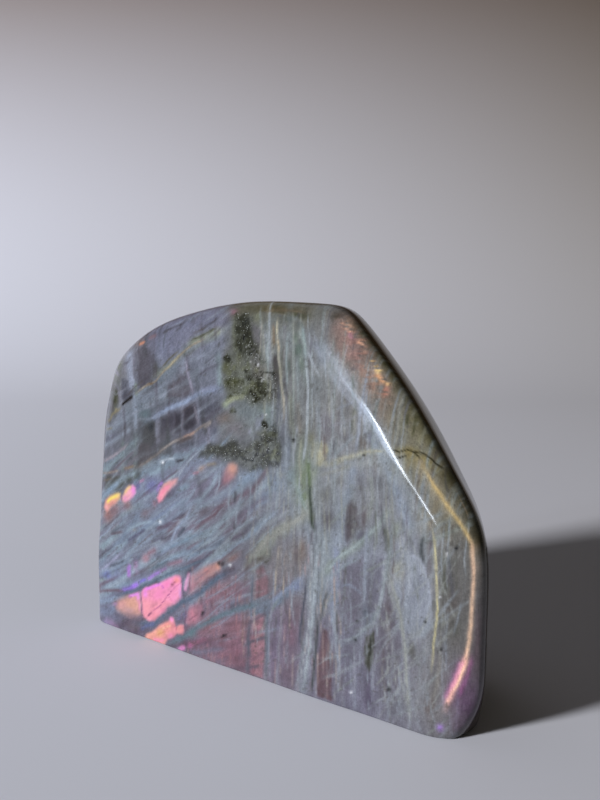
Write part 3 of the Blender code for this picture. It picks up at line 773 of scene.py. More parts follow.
    Band(((47.2, 44), (47.8, 38), (48, 32)), 0.35, "#a0a7ae", 0.75),
    Band(((49.4, 40), (50, 34), (50.4, 28)), 0.25, "#9aa2ae", 0.6),
    Band(((41, 38.6), (42.6, 35.4), (44.6, 31), (46.6, 26), (47.8, 20), (48.6, 14), (49.6, 8), (50.6, 3)),
        0.5, "#989d98", 0.9),
    Band(((42.6, 48), (42, 43), (41.4, 37), (40.6, 30), (39.4, 25), (38.2, 21)), 0.42, "#8f999c", 0.85),
    Band(((40.8, 33), (40.2, 26), (40, 20)), 0.28, "#9aa3aa"),
    Band(((40, 27), (37.2, 22.6), (33.6, 18.6), (29.6, 16)), 0.8, "#7d868e", 0.8),
    Band(((38.6, 24), (34, 19.4), (30, 17)), 0.28, "#96a0a6"),
    Band(((35.4, 30), (31, 31.6), (28.6, 30.6)), 0.35, "#8790a0", 0.65),
    Zone((36.6, 25.4), (1, 2), "#58606a"),
    Patch(((39.2, 22), (38, 20.4), (37, 16.4), (37.2, 13), (38.4, 11.4), (39.2, 15), (39.4, 19)), "#3f4034",
        0.95, 0.45), Band(((38.4, 20), (38.2, 15)), 0.3, "#25261d", 0.85),
    Band(((37, 20.4), (36.6, 15)), 0.35, "#54554e", 0.8), Zone((38.4, 6), (1.4, 4.6), "#564e60", 0.8),
    Zone((33, 14), (2.2, 5), "#6a6974"), Zone((31, 5), (2, 3.4), "#6a6672", 0.6),
    Band(((31.2, 14), (31.4, 8), (30.6, 2)), 0.3, "#8b8f9a", 0.6),
    Band(((34, 12), (34.2, 3)), 0.3, "#888b96", 0.6),
    Patch(((0.9, 29), (3, 30.6), (5, 28.4), (5.2, 24), (3, 22.4), (0.8, 22)), "#876a72", 0.9, 0.7),
    Patch(((0.6, 16), (2.6, 17.6), (4.6, 18), (5, 10), (4.4, 1), (0.4, 1), (-0.2, 8)), "#9a747c", 0.92, 0.6),
    Zone((2.2, 26.4), (0.8, 1.8), "#9c7680"), Zone((2.2, 12.4), (0.9, 2.6), "#a07880"),
    Zone((1.6, 5), (0.9, 2.4), "#9a7078", 0.6),
    Band(((-0.6, 15), (-0.9, 8), (-0.9, 0)), 0.5, "#565d69", 0.9),
    Band(((-0.2, 28), (0, 22), (-0.4, 17)), 0.5, "#616b78", 0.8),
    Band(((5.4, 22), (5.6, 12), (5.6, 1)), 0.5, "#6c7482", 0.8), Zone((-5, 8), (3.8, 5.4), "#8a6a78", 0.85),
    Zone((-5, 22), (3.4, 2.6), "#735f6c", 0.7, 25), Zone((-3, 1.8), (3, 1.4), "#6e5a66"),
    Zone((8.4, 8), (2, 6), "#716779"), Zone((13.4, 15), (2.4, 5), "#75606c", 0.85),
    Zone((13, 5), (2.4, 4), "#6e5f6a", 0.75), Zone((8.4, 17), (1.8, 2.6), "#6f6a7c", 0.6),
    Zone((15.6, 21), (1.4, 2.8), "#6a5e66"), Band(((7, 30), (6.9, 24), (6.4, 12), (6.6, 2)), 0.3, "#8a8f9c"),
    Band(((10.2, 22), (10, 12), (9.6, 2)), 0.25, "#87858e", 0.6), Zone((3.8, 34), (2, 1.4), "#7f8478"),
    Zone((15.4, 37), (2.2, 3.2), "#756a64", 0.85), Zone((12, 35), (1.1, 3), "#7c7672", 0.6),
    Zone((8.4, 35), (0.9, 4), "#85837e", 0.6), Zone((2, 32.4), (1.8, 0.7), "#5e5a54", 0.7, 20),
    Band(((3.4, 31.6), (5, 32.6)), 0.3, "#4c4a42", 0.8),
    Band(((7.7, 37), (7.7, 31), (7.5, 24)), 0.22, "#aea79a", 0.8),
    Band(((10.4, 36), (10.4, 28), (10.6, 24)), 0.2, "#a59c90", 0.75),
    Band(((12.6, 38), (12, 32), (11.8, 25)), 0.25, "#8e959c", 0.6),
    Band(((17.6, 30), (17.6, 25), (16.6, 18), (16, 12)), 0.35, "#4a4d58", 0.85),
    Patch(((23.8, 19), (25.4, 18.6), (27.2, 12), (27.6, 1), (22.6, 1), (22.6, 10)), "#635056", 0.92, 0.6),
    Zone((24.8, 12), (0.9, 2.8), "#6f585a"),
    Band(((22.2, 22), (21.9, 14), (21.4, 6), (21, 1)), 0.42, "#474b4c", 0.9),
    Band(((24.6, 29), (23.6, 24), (23, 20)), 0.4, "#5a5f60", 0.75),
    Band(((24.2, 22), (24.8, 26), (26, 29)), 0.2, "#9a9a90", 0.6),
    Band(((27.9, 14), (28.6, 7), (28.4, 1)), 0.25, "#8d8f94"),
    Band(((26.6, 22), (28.4, 17.6), (30.6, 15)), 0.35, "#8e979e", 0.75),
    Band(((44.8, 16), (44.6, 9), (44, 2)), 0.4, "#7f828a"),
    Band(((51.6, 21), (52.4, 12), (52, 3)), 0.45, "#878b8e", 0.75),
    Band(((47.6, 21), (52, 25)), 0.5, "#8b9092"), Band(((48, 14), (52.6, 19), (55.4, 24)), 0.4, "#84888a"),
    Band(((44, 4), (49, 10), (53.4, 16)), 0.35, "#83878c", 0.65),
    Band(((55, 18), (53.6, 10), (54.4, 3)), 0.4, "#83868a", 0.65),
    Band(((56, 14), (50, 6), (46, 1)), 0.3, "#7f8388", 0.6), Zone((49.8, 19.6), (1.4, 1.8), "#5f6058"),
    Zone((43.8, 8.4), (0.5, 1), "#3c3d40", 0.8), Zone((46.6, 5), (1.6, 2), "#62646a", 0.6),
    # The bevel on the right and the stain over the slope above it, with painted shade and painted highlights
    # by the ridges.
    Zone((57, 42), (1.6, 2.4), "#5e5f52", 0.65), Zone((58.6, 32), (1.8, 2.6), "#5a5450", 0.65),
    Zone((57.8, 25.6), (1, 2.4), "#55524a", 0.6), Band(((55, 33), (54.6, 30)), 0.5, "#5a5a56", 0.6),
    Zone((57, 50), (2, 3), "#75766a", 0.5), Band(((59.6, 45.6), (59.3, 45)), 0.3, "#1f1f1c", 0.9),
    Band(((56, 9), (57, 14), (57.4, 20)), 0.6, "#8c8a80", 0.4),
    Zone((55.6, 7.6), (1.2, 1.8), "#5a4c46", 0.5), Zone((25.6, 89.4), (2.8, 6.4), "#9f8680", 0.7, 38),
    Zone((22.6, 93), (2, 3.4), "#a28a80", 0.6, 35), Zone((33, 80.6), (2.2, 5), "#9d8474", 0.6, 38),
    # Painted shade: dark olive bands along the edge where the high bevel turns into the side.
    Band(((23.7, 96.4), (29.2, 91.2), (35.9, 84.1), (42.4, 76.6), (48.1, 69.9), (52.7, 64)), 1.0, "#5c5a40",
        0.8), Band(((38, 82), (43, 75), (49, 67.6)), 1.6, "#77745a", 0.5),
    Zone((42, 72), (2.4, 4), "#858266", 0.5, 35), Band(((40, 80), (41, 73), (42, 68)), 0.3, "#a5a496", 0.5),
    Band(((44.6, 74), (45, 69)), 0.3, "#56573f", 0.5), Band(((47, 71), (46.4, 66)), 0.35, "#9c9b80", 0.5),
    Band(((42.6, 74), (43.4, 71.6)), 0.4, "#4c4e3c", 0.6),
    # A painted highlight: the thin pale yellow line on the low ridge between the face and the bevel.
    Band(((52.3, 50.4), (53.4, 48), (54.1, 45.6), (54.9, 40.5), (55.7, 34.2), (55.9, 29), (55.7, 22.4),
        (55.4, 16)), 0.3, "#c2bc92", 0.9, 0.2), Zone((57.4, 37), (1.1, 3.4), "#54574a", 0.6),
    Zone((57.2, 29), (0.8, 2.6), "#4e5048", 0.6), Zone((60.4, 27), (1, 2), "#575850", 0.5),
    # Painted shade: the dark olive band beyond the edge's painted highlight, where the bevel turns into the
    # side.
    Band(((52.7, 64), (56.6, 59.4), (60.2, 55), (63.2, 50), (64.8, 45)), 1.7, "#4a4733", 0.85),
    Band(((56.4, 22), (60, 27)), 0.4, "#8d918c", 0.6), Band(((57, 27), (61, 31)), 0.35, "#888c84", 0.5),
    # Painted highlights: a pale blue glow leading into and beside the ridge between the face and the high
    # bevel.
    Band(((17.4, 90.3), (20.7, 87.3), (23.8, 84.4), (26.6, 81.6), (29.3, 78.7)), 1.5, "#a3aeb8", 0.6),
    Band(((30, 77.5), (34, 73.4), (37.5, 69.4), (40.5, 65), (44, 59.8), (49, 54)), 1.6, "#9aa6b0", 0.5),
    Band(((34, 70), (38.5, 63.6), (42.4, 57.6), (46, 51.4), (48.6, 46)), 1.5, "#98aabd", 0.42),
)

# Thin clouds over whole areas: smoky ones on the left, in the middle and low on the right, and
# milky ones at the top.
CLOUDS: tuple[Zone, ...] = (
    Zone((-46, 33), (17, 11), "#34322e", 0.11, 20),
    Zone((-46, 56), (15, 6), "#34322e", 0.24, 20), Zone((-6, 34), (16, 12), "#3a362a", 0.18),
    Zone((-16, 46), (12, 7), "#34322e", 0.08, 20), Zone((30, 28), (10, 12), "#3a372e", 0.08),
    Zone((33, 52), (12, 9), "#3a362a", 0.1), Zone((26, 78), (9, 12), "#c8ccca", 0.14),
    Zone((-50, 82), (10, 7), "#b8bcc0", 0.10), Zone((4, 90), (10, 7), "#b8beb4", 0.08),
    Zone((-30, 90), (12, 4), "#b4b6ae", 0.08, 18),
)

# Where the bevel turns into the side: a painted highlight from gold to peach, over a violet and magenta
# ground of play of colour.
EDGE_HIGHLIGHT_AND_FLASH: tuple[Zone | Band, ...] = (
    Zone((61.6, 12), (2.8, 7), "#5d465c"), Zone((64.2, 9), (2.4, 8), "#4a344c", 0.8),
    Zone((64.9, 24), (1.1, 9), "#4f3f46", 0.75),
    Band(((62.2, 20), (61.2, 16), (60.0, 12.4), (58.9, 9.4)), 0.8, "#c071ae"),
    Band(((63.9, 21), (63.2, 16), (61.8, 11)), 0.6, "#8c4f7c", 0.6),
    Band(((46.6, 64.6), (49.6, 61), (54.2, 55.6), (58.6, 51)), 1.3, "#a3987c", 0.45),
    Band(((47.6, 64.2), (50.6, 60.6), (54.7, 55.8), (59.5, 50.9), (61.6, 48.4), (62.6, 46.3), (63.4, 42)),
        0.5, "#baa472", 0.9, 0.25),
    Band(((61.8, 48.2), (62.7, 46), (63.5, 40.3), (63.5, 31.3), (63.1, 23.5), (62.7, 19.6), (61.9, 15.5)),
        0.5, "#d4b295", 1.0, 0.1),
    Band(((62.9, 21.5), (62.1, 17.4), (61.0, 13.6), (59.9, 10.4), (59, 7.4)), 0.75, "#ecb6a4", 1.0, 0.2),
    Band(((62.4, 19.8), (61.2, 15.6), (60, 12.2)), 0.4, "#e89cb4"),
    Band(((62.6, 18.6), (61.8, 15), (60.8, 12)), 0.22, "#f4c9a6", 0.8),
)

# A painted highlight: the sparkling streak below the top of the bevel, broken into short level dashes.
HIGHLIGHT_DASHES: tuple[Zone | Band, ...] = (
    Zone((27.5, 88.6), (2.0, 6.6), "#b0857c", 0.55, 38), Zone((33.4, 81), (1.8, 5.4), "#ac826c", 0.55, 38),
    Band(((22.4, 96), (23.6, 94.8), (25.4, 93)), 0.8, "#f6ba98", 0.95, 0.1),
    Band(((24.6, 92.6), (26.2, 91.4)), 0.5, "#c98ca6", 0.6, 0.1),
    Band(((27.2, 90.9), (28.4, 89.4), (29.2, 87.9)), 0.62, "#f8bc9a", 1.0, 0.1),
    Band(((31, 86.4), (32.2, 85.2), (33.2, 84.2), (34.2, 83.4)), 0.62, "#f2cf92", 0.95, 0.1),
    Band(((33.4, 83), (34.6, 82), (35.6, 81.2), (36.6, 80.9)), 0.6, "#f6be90", 0.95, 0.1),
    Band(((35.6, 80.6), (36.4, 79.4), (36.4, 78.2)), 0.8, "#d89a86", 0.75, 0.1),
    Zone((24.2, 94.6), (0.5, 0.9), "#ffd6b4", 0.8, 30), Zone((28.4, 89.6), (0.4, 1.0), "#ffd2b0", 0.85, 30),
    Zone((33.9, 83.7), (0.7, 0.5), "#ffe09a", 0.8), Zone((36.3, 80.9), (0.7, 0.45), "#ffd89c", 0.9),
)

# Patches of play of colour on the left: each turns from its first colour to its second.
FLASHES: tuple[Flash, ...] = (
    Flash(Patch(((-62.6, 35.9), (-61.9, 38.1), (-59.4, 40), (-56.6, 41.3), (-55.1, 41.4), (-55.1, 39.7),
        (-56.6, 38.1), (-59.1, 36.6), (-61, 34.8)), "#fbd884", 0.97, 0.8), "#e8a090", (-0.2, -1), 3.6),
    Flash(Patch(((-54.3, 39.4), (-54.1, 40.9), (-52.9, 42.8), (-51, 44.1), (-49.4, 44.7), (-48.3, 44.1),
        (-48.2, 42.5), (-49.1, 41.3), (-51.3, 39.7), (-52.9, 38.9)), "#fcc0a8", 0.97, 0.75), "#f79ed6",
        (1, -0.35), 5.0),
    Flash(Patch(((-39.1, 42.5), (-37.9, 44.7), (-36.3, 46.6), (-34.8, 47.8), (-32.9, 48.4), (-30.7, 49.1),
        (-31, 47.8), (-32.9, 46.3), (-34.8, 44.4), (-36.6, 42.1), (-38.2, 41.2)), "#ff9fb0", 0.95, 0.85),
        "#cf9c94", (1, 0.8), 12.0),
    Flash(Patch(((-13, 51), (-12.4, 53.6), (-10.9, 56), (-9.4, 56.6), (-7.8, 56), (-7.4, 54.4),
        (-8.6, 52.4), (-10.6, 51), (-12, 50.4)), "#cd9a86", 0.8, 1.1), "#a5777e", (-0.5, -1), 5.5),
    Flash(Patch(((-56.8, 6.9), (-53.5, 9.4), (-50.4, 11.1), (-47.7, 12.5), (-45.4, 13.3), (-44.1, 12.8),
        (-43.8, 10.6), (-43.8, 7.2), (-45.4, 6.4), (-48.2, 5.3), (-51.6, 5.3), (-54.3, 5.6)), "#a98480",
        0.9, 1.3), "#e6a894", (1, 0.3), 8.0),
    Flash(Patch(((-43.9, 13.6), (-42.9, 15), (-41.6, 15.8), (-40.8, 15.6), (-39.3, 16.7), (-37.1, 17.8),
        (-36.4, 17.6), (-35.2, 18.6), (-32.7, 20), (-29.9, 21.4), (-27.9, 21.9), (-27.1, 21.1),
        (-26.7, 18.3), (-27.1, 15.6), (-28.8, 13.3), (-31, 11.4), (-33.2, 9.4), (-35.4, 7.8), (-37.7, 6.4),
        (-40.2, 5.6), (-42.9, 6.9), (-43.4, 10)), "#ff9bd0", 0.98, 0.6), "#ffa2b4", (0.1, -1), 9.0),
    Flash(Patch(((-26.1, 18.3), (-25.6, 20.8), (-24.4, 23.6), (-23.8, 23.4), (-24.2, 20.8), (-24.9, 18)),
        "#e3a4ce", 0.85, 0.5), "#d79ab6", (1, 0), 2.0),
    Flash(Patch(((-24, 17.6), (-23.6, 22.6), (-20, 25.2), (-17, 27), (-12.6, 28.8), (-12, 27),
        (-14.6, 24.8), (-18, 22.4), (-21, 19.6)), "#b38290", 0.66, 1.1), "#bb8880", (1, 0.8), 11.0),
    Flash(Patch(((-42.1, 0.1), (-41, 1.7), (-39.3, 2.8), (-37.1, 4.4), (-35.7, 5.8), (-34.1, 6.7),
        (-32.1, 7.8), (-31.3, 9.2), (-30.2, 9.3), (-29.6, 8.1), (-29, 6.9), (-27.1, 8.1), (-25.7, 8.1),
        (-25.4, 6.4), (-26, 5.3), (-28.5, 5), (-30.2, 3.6), (-32.1, 2.5), (-32.9, 0.8), (-33.5, 0)),
        "#f5b094", 0.97, 0.6), "#f29aa2", (1, 0.5), 14.0),
    Flash(Patch(((-28, 0.8), (-27, 1.7), (-25.6, 2.4), (-24.5, 2), (-25, 1), (-26.6, 0.5)), "#e28ece", 0.85,
        0.5), "#d688bc", (1, 0), 3.0),
    Flash(Patch(((-24.9, 9), (-24.6, 12), (-23.4, 14), (-20.6, 15.4), (-18.4, 15.8), (-18.2, 14),
        (-19.4, 11.4), (-21.6, 9.6), (-23.6, 8.8)), "#c38494", 0.72, 0.9), "#ab7684", (1, 0.4), 7.0),
    Flash(Patch(((-62, 0), (-60, 2.4), (-57.6, 2.6), (-54, 1.4), (-52, 0)), "#9f92bc", 0.6, 1.0), "#a986a6",
        (1, 0), 8.0),
    Flash(Patch(((-50.5, 17.3), (-50.7, 19.6), (-50, 21), (-49.1, 20.8), (-48.8, 18.8), (-49.2, 17.2)),
        "#bd8be0", 0.85, 0.7), "#b27bd0", (0, -1), 3.0),
)

# The back has flashes of its own, in the blue, green and gold that labradorite shows at other angles.
BACK_FLASHES: tuple[Flash, ...] = (
    Flash(Patch(((-50, 22), (-46, 30), (-38, 37), (-27, 43), (-18, 46), (-20, 40), (-30, 33), (-40, 26)),
        "#3f78b4", 0.85, 1.6), "#46a49c", (1, 0.5), 26.0),
    Flash(Patch(((-16, 12), (-12, 20), (-2, 27), (8, 31), (10, 27), (0, 19), (-8, 12)), "#4a9a98", 0.75,
        1.6), "#c2a45c", (1, 0.5), 22.0),
    Flash(Patch(((-56, 46), (-50, 53), (-42, 58), (-40, 54), (-48, 48)), "#c8a050", 0.7, 1.2), "#6f9a78",
        (1, 0.4), 12.0),
    Flash(Patch(((6, 52), (12, 60), (22, 66), (26, 63), (18, 55), (10, 50)), "#3d6aa8", 0.7, 1.4),
        "#5a86b4", (1, 0.4), 16.0),
)

# Brighter and deeper places inside the flashes, and the violet streak along their upper side.
GLINTS: tuple[Zone | Band, ...] = (
    Band(((-61.2, 37.4), (-59, 39.3), (-56, 40.6)), 0.62, "#ffe86e", 0.9),
    Zone((-61.3, 36.2), (1, 0.8), "#f8b4b6", 0.8),
    Band(((-53.4, 41.8), (-51.8, 43.3), (-50.2, 44.2)), 0.5, "#fdd594", 0.85),
    Zone((-49.2, 43.2), (0.8, 1), "#f493e2", 0.85), Zone((-53, 40.2), (0.9, 0.8), "#e28fc6"),
    Zone((-51, 41.6), (1.1, 0.9), "#ffb8c0", 0.6),
    Band(((-38.4, 42.8), (-36.2, 45), (-33.8, 46.8)), 0.6, "#ff94ae"),
    Band(((-36.6, 46.2), (-33.6, 47.9)), 0.35, "#eab09a", 0.6), Zone((-9.4, 54.8), (1.2, 1), "#d8a088"),
    Band(((-49.6, 11.2), (-47.4, 12.3), (-45, 12.9)), 0.5, "#ea92ee", 0.9),
    Zone((-45.2, 12), (0.9, 1.3), "#f59af0", 0.85), Band(((-44.6, 11), (-44.4, 8)), 0.55, "#fba2c4", 0.85),
    Zone((-48.2, 9.4), (2.2, 1.5), "#dda890", 0.75, 15), Zone((-52.6, 8), (1.8, 1.1), "#e2a8a4", 0.75, 25),
    Zone((-49, 7), (2.6, 1), "#b8969a"), Zone((-55.6, 7.3), (1.2, 0.6), "#a882ae", 0.7, 30),
    Zone((-48, 5.6), (4, 0.8), "#88747e"), Band(((-49.4, 11.1), (-48, 11.6)), 0.22, "#905a70", 0.6),
    Zone((-42, 13.6), (1.1, 1.2), "#ff9cf6", 0.95),
    Band(((-42.6, 14.8), (-40.4, 15.6), (-37.6, 17), (-35, 18.2)), 0.42, "#f58cf4", 0.85),
    Zone((-36.4, 14.6), (3.4, 1.4), "#ff94c8", 0.7, 30), Zone((-41.2, 9.6), (1.7, 2.4), "#ffa8b2", 0.85),
    Zone((-33, 18.2), (1.8, 0.9), "#ff8ec4", 0.8, 30), Zone((-28.9, 20.4), (1.4, 1), "#ffa09a", 0.85, 20),
    Zone((-30, 15), (1.8, 1.8), "#ffa2cc", 0.8, 40), Zone((-27.4, 16.8), (0.6, 1.6), "#c898ce", 0.8),
    Zone((-37.4, 7.6), (2, 0.9), "#f295a2", 0.85, 35), Zone((-34, 10.6), (2, 0.8), "#ff94be", 0.6, 40),
    Band(((-34.8, 17.6), (-34.2, 17)), 0.35, "#c468c0"), Zone((-30.9, 8.7), (0.8, 0.7), "#ffa0dc", 0.9),
    Zone((-32.6, 6.2), (1.8, 1.2), "#ffa898", 0.85, 30), Zone((-35.4, 3.6), (1.8, 1.1), "#e6b47a", 0.85, 35),
    Band(((-38.4, 0.8), (-35, 1.3), (-33.4, 2)), 0.6, "#ff9cbc", 0.85),
    Zone((-31, 3.8), (1.2, 0.9), "#fb96be", 0.8, 30), Zone((-40.4, 1), (1, 0.6), "#ffb2a6", 0.8),
    Zone((-27.4, 6.6), (1.4, 0.9), "#e49a94", 0.8, 25), Band(((-34.6, 5), (-31, 7)), 0.22, "#ffd0a8", 0.6),
    Band(((-36.6, 2.6), (-33, 4.6)), 0.2, "#c98a62", 0.55),
    Zone((-22.4, 12), (1.1, 1.6), "#da8f9c", 0.75, 30), Zone((-17.4, 25.4), (1.1, 0.8), "#cc8a86"),
    Zone((-13.2, 27.6), (1, 0.9), "#d09a86"), Zone((-22.6, 20.4), (0.8, 1.8), "#bd8c96", 0.6),
    Zone((-19.4, 23.2), (1, 0.7), "#c08a92", 0.6),
    Band(((-52.7, 12.2), (-49.3, 13.8), (-46.6, 15.4), (-45.2, 16.4)), 0.75, "#9877dc", 0.85),
    Zone((-46.6, 15.4), (1.5, 0.7), "#ae84ee", 0.9, 30),
    Band(((-45, 16.6), (-43.8, 17.2), (-41.6, 18.2)), 0.55, "#7f78cc", 0.85),
    Band(((-41.4, 18.2), (-39.4, 19.4), (-37.7, 20.5), (-35.6, 21.7)), 0.6, "#a57fd0", 0.85),
    Band(((-35.8, 21.6), (-33.2, 23.1)), 0.5, "#8f6694"),
)

# Fainter violet, rose and brown stains around the flashes.
HUES: tuple[Zone | Band, ...] = (
    Zone((-46.6, 21.2), (1.3, 1.9), "#a1739c"), Zone((-59.8, 15.5), (2.1, 1.2), "#6a6fb2", 0.75, 15),
    Zone((-55.4, 17), (2.6, 1.4), "#8490bc", 0.6, 30), Zone((-42.4, 24), (1.7, 1.3), "#b37f8a", 0.85, 20),
    Band(((-42, 25.2), (-40, 26.4), (-38, 27.8)), 0.9, "#8a6a76"),
    Band(((-33.6, 24), (-31.3, 24.8), (-26.6, 26.5)), 0.7, "#93707f"),
    Zone((-47.4, 44.6), (1.3, 1.3), "#6c649e", 0.7, 30),
    Band(((-46.6, 46), (-44.4, 47.1)), 0.42, "#bd86a8", 0.85),
    Zone((-41.4, 45.8), (2.6, 1.9), "#7475a8", 0.75, 30),
    Band(((-39.4, 44.3), (-38, 46.1), (-36.8, 47.6)), 0.55, "#a87ecb", 0.9),
    Band(((-38.8, 43.8), (-36.2, 47.2)), 0.2, "#6a4a76", 0.6),
    Zone((-39.9, 40.5), (1.1, 1.2), "#9a7079", 0.75, 30),
    Band(((-40.4, 39.6), (-42.4, 37.8), (-44.2, 36.2)), 1.2, "#77686f", 0.6),
    Zone((-60.4, 34), (2.6, 2.2), "#9c6a62", 0.8, 20), Zone((-57, 36), (2.6, 2), "#8c6464", 0.75, 25),
    Zone((-51.6, 38.4), (2, 1.6), "#a8766e", 0.8, 30), Zone((-52.6, 37.2), (2, 1), "#7c6470", 0.6, 30),
    Zone((-21.2, 53.2), (1.7, 0.8), "#ac8c78", 0.8, 30),
    Band(((-24.6, 51.2), (-22.2, 52)), 0.4, "#a8747f", 0.8),
    Band(((-19.6, 54.4), (-15.4, 55.4)), 0.6, "#87795f", 0.6),
    Zone((-15, 27), (2.4, 1.2), "#a87a74", 0.5, 35), Zone((-8, 31), (3, 1), "#8c6458", 0.6, 30),
    Band(((-24, 2.6), (-20, 4.4), (-15.6, 6.6)), 0.8, "#97627a", 0.75),
    Zone((-12, 21), (7, 2.6), "#93696f", 0.65, 25), Zone((-6, 12), (6, 3.4), "#95686e", 0.65, 25),
    Zone((-8, 4), (9, 3.6), "#8a626c", 0.65), Zone((-17, 10), (4, 3), "#9c6c70", 0.6, 25),
    Zone((-20, 10), (2, 1.6), "#a87682", 0.4, 30), Zone((-13, 15), (4, 1.4), "#8a6470", 0.5, 25),
    Zone((-47, 3.2), (4.4, 1.9), "#67595f", 0.75, 8), Zone((-55, 4), (2.4, 1.4), "#74788e", 0.6, 15),
    Zone((-16.4, 17.4), (2.2, 1.2), "#9b7280", 0.6, 30), Zone((-23, 2.6), (0.9, 0.9), "#a8648c"),
    Zone((58.2, 3), (0.8, 0.9), "#b488ee", 0.95), Zone((61.6, 4), (1.6, 2), "#70586c", 0.5),
)

# Grey and dark lines that cut across the flashes.
CUTS: tuple[Zone | Band, ...] = (
    Band(((-44, 13.6), (-43.7, 10.6), (-43.3, 6.6)), 0.2, "#845a7c", 0.85, 0.1),
    Band(((-43.2, 6.4), (-43.8, 4)), 0.3, "#4f4a5e", 0.6),
    Band(((-41, 7), (-40.2, 7.9), (-39, 9)), 0.26, "#804868", 0.85, 0.3),
    Band(((-39.2, 8.8), (-36, 11.5), (-33.5, 14), (-31, 16.8), (-28.5, 19), (-27.2, 20)), 0.13, "#a8588c",
        0.8, 0.3), Zone((-30.6, 18.8), (0.7, 0.45), "#a05a70", 0.8, 25),
    Band(((-30, 19.4), (-29.2, 19.9)), 0.2, "#96505f"),
    Band(((-26.6, 22.4), (-26.5, 19), (-26.2, 17), (-25.6, 14.6)), 0.42, "#6a687e", 0.8),
    Band(((-25.4, 13.6), (-25.2, 11), (-24.8, 6), (-24.6, 1.5)), 0.25, "#684e62", 0.85),
    Band(((-23.7, 23), (-24, 19.4)), 0.2, "#8a5468"), Band(((-32, 15.2), (-30.6, 14)), 0.15, "#b8608e", 0.5),
    Band(((-47, 3.6), (-43, 4.4), (-39, 5.2), (-36, 7.4), (-32.4, 10.4), (-29.6, 12.4), (-27, 14.6),
        (-23, 16.4), (-18, 20), (-12.6, 24.6), (-7, 28)), 0.9, "#5d6b7d", 0.9),
    Band(((-44, 2.4), (-41, 4.2), (-37.6, 6)), 0.7, "#646c8e", 0.85),
    Band(((-33, 11), (-29.6, 13)), 0.7, "#6b7484"),
    Band(((-33, -0.4), (-31, 1.6), (-28, 3.4), (-25.4, 4.6), (-22, 7.4), (-15, 12), (-7, 16.4), (0, 19.4),
        (6, 22.4)), 0.9, "#64747e", 0.9), Zone((-22, 6.4), (1.8, 1.2), "#6a848a", 0.7, 30),
    Band(((-28.4, 9), (-26.4, 10.4), (-25, 12)), 0.9, "#6f6c88"),
    Band(((-24, 0.6), (-17, 2.6), (-9, 5.6)), 0.8, "#70788a", 0.5),
    Band(((-57, 5), (-50, 3.6), (-46, 3.4)), 0.7, "#6b6270", 0.4),
    Band(((-55, 10), (-50, 12.4), (-46, 14), (-42, 16.6), (-37, 19), (-31, 22.2), (-27, 24), (-22, 26.6),
        (-16, 29.4)), 0.5, "#5f6f7f", 0.8), Band(((-66, 3), (-60, 4.4), (-55, 6.8)), 1.2, "#7c88a0"),
    Band(((-54.7, 41), (-54.3, 38.9)), 0.28, "#94688a", 0.85),
    Band(((-22, 21.6), (-16, 26)), 0.3, "#7c6c76", 0.5),
    Band(((-19, 12.4), (-18.2, 13.2), (-17.4, 14.2)), 0.35, "#4a3c48", 0.9),
    Band(((-10.8, 8.2), (-8.4, 9.8)), 0.3, "#4c3a42", 0.85),
    Zone((-11.4, 28.6), (0.9, 0.7), "#42393c", 0.85, 30),
    Band(((-29.3, 7.6), (-28.6, 5.4)), 0.2, "#a8606e", 0.6),
    Band(((-33.6, 6.6), (-31.8, 4.4)), 0.18, "#c87c74", 0.4),
    Band(((-21.6, 8.4), (-13, 15.6), (-6, 21.6)), 0.28, "#8892a0", 0.55),
    Band(((-18, 17), (-10, 22), (-2, 28.4)), 0.28, "#8892a0", 0.55),
    Band(((-16, 9), (-10, 13), (-3, 19)), 0.28, "#8690a0", 0.45),
    Band(((-24, 10), (-20, 13)), 0.2, "#8a5c6e", 0.6),
    Band(((-23.6, 13.4), (-21.4, 9.6)), 0.16, "#9c6478", 0.5),
)

# Fine dark cracks that cross the bevel.
CRACKS: tuple[tuple[Place, ...], ...] = (
    ((40.6, 65.8), (43, 65.7), (44.8, 66.2), (46.5, 65.5), (48, 64.3)),
    ((46.1, 65.9), (48, 65.6), (50, 64.6), (51.5, 63.4), (53.3, 62.4)),
    ((41.4, 64), (43, 64.2), (44.6, 64.9)),
)

# Granular dark inclusions: where they are, how black, and how thick with grains.
CLUSTERS: tuple[Cluster, ...] = (
    Cluster(Patch(((-10.6, 95.6), (-6, 95.4), (-5.8, 91), (-4.6, 88), (-8, 86), (-11, 88)), "#1d1e17", 1.0,
        1.4), 0.84),
    Cluster(Patch(((-11, 88), (-4.6, 89), (-1, 85), (3.6, 82), (4, 74.6), (-3, 73.4), (-8, 76.6),
        (-11, 80)), "#2b2c26", 0.9, 1.9), 0.54),
    Cluster(Patch(((-15.8, 84.6), (-14, 85.4), (-12.6, 84), (-14, 82.8)), "#14150f", 0.95, 0.7), 0.9),
    Cluster(Patch(((-14.4, 83), (-10.4, 84), (-9, 77), (-8.6, 74.4), (-12.6, 73), (-14, 77)), "#33351f",
        0.9, 1.4), 0.52),
    Cluster(Patch(((-6.6, 78), (0, 79.6), (1.4, 75), (-4, 72.8), (-7, 74.4)), "#26261a", 0.95, 1.0), 0.66),
    Cluster(Patch(((-22, 56.4), (-17, 60.2), (-10, 61.6), (-4, 61), (0.4, 64.6), (5, 66.4), (7.4, 61),
        (7, 58), (3, 57), (-3, 55.6), (-8, 57.6), (-15, 57.6)), "#262723", 0.95, 1.8), 0.7),
    Cluster(Patch(((-1, 65), (5, 67.4), (7.6, 60), (6.6, 57.6), (1, 59)), "#2f3136", 0.9, 1.6), 0.56),
    Cluster(Patch(((-0.6, 68.4), (1.8, 68.6), (2, 67), (0.2, 67)), "#15160f", 0.95, 0.5), 0.85),
    Cluster(Patch(((-11.4, 70.6), (-10, 71), (-9, 70), (-11, 69.4)), "#2a2a20", 0.8, 0.6), 0.6),
)

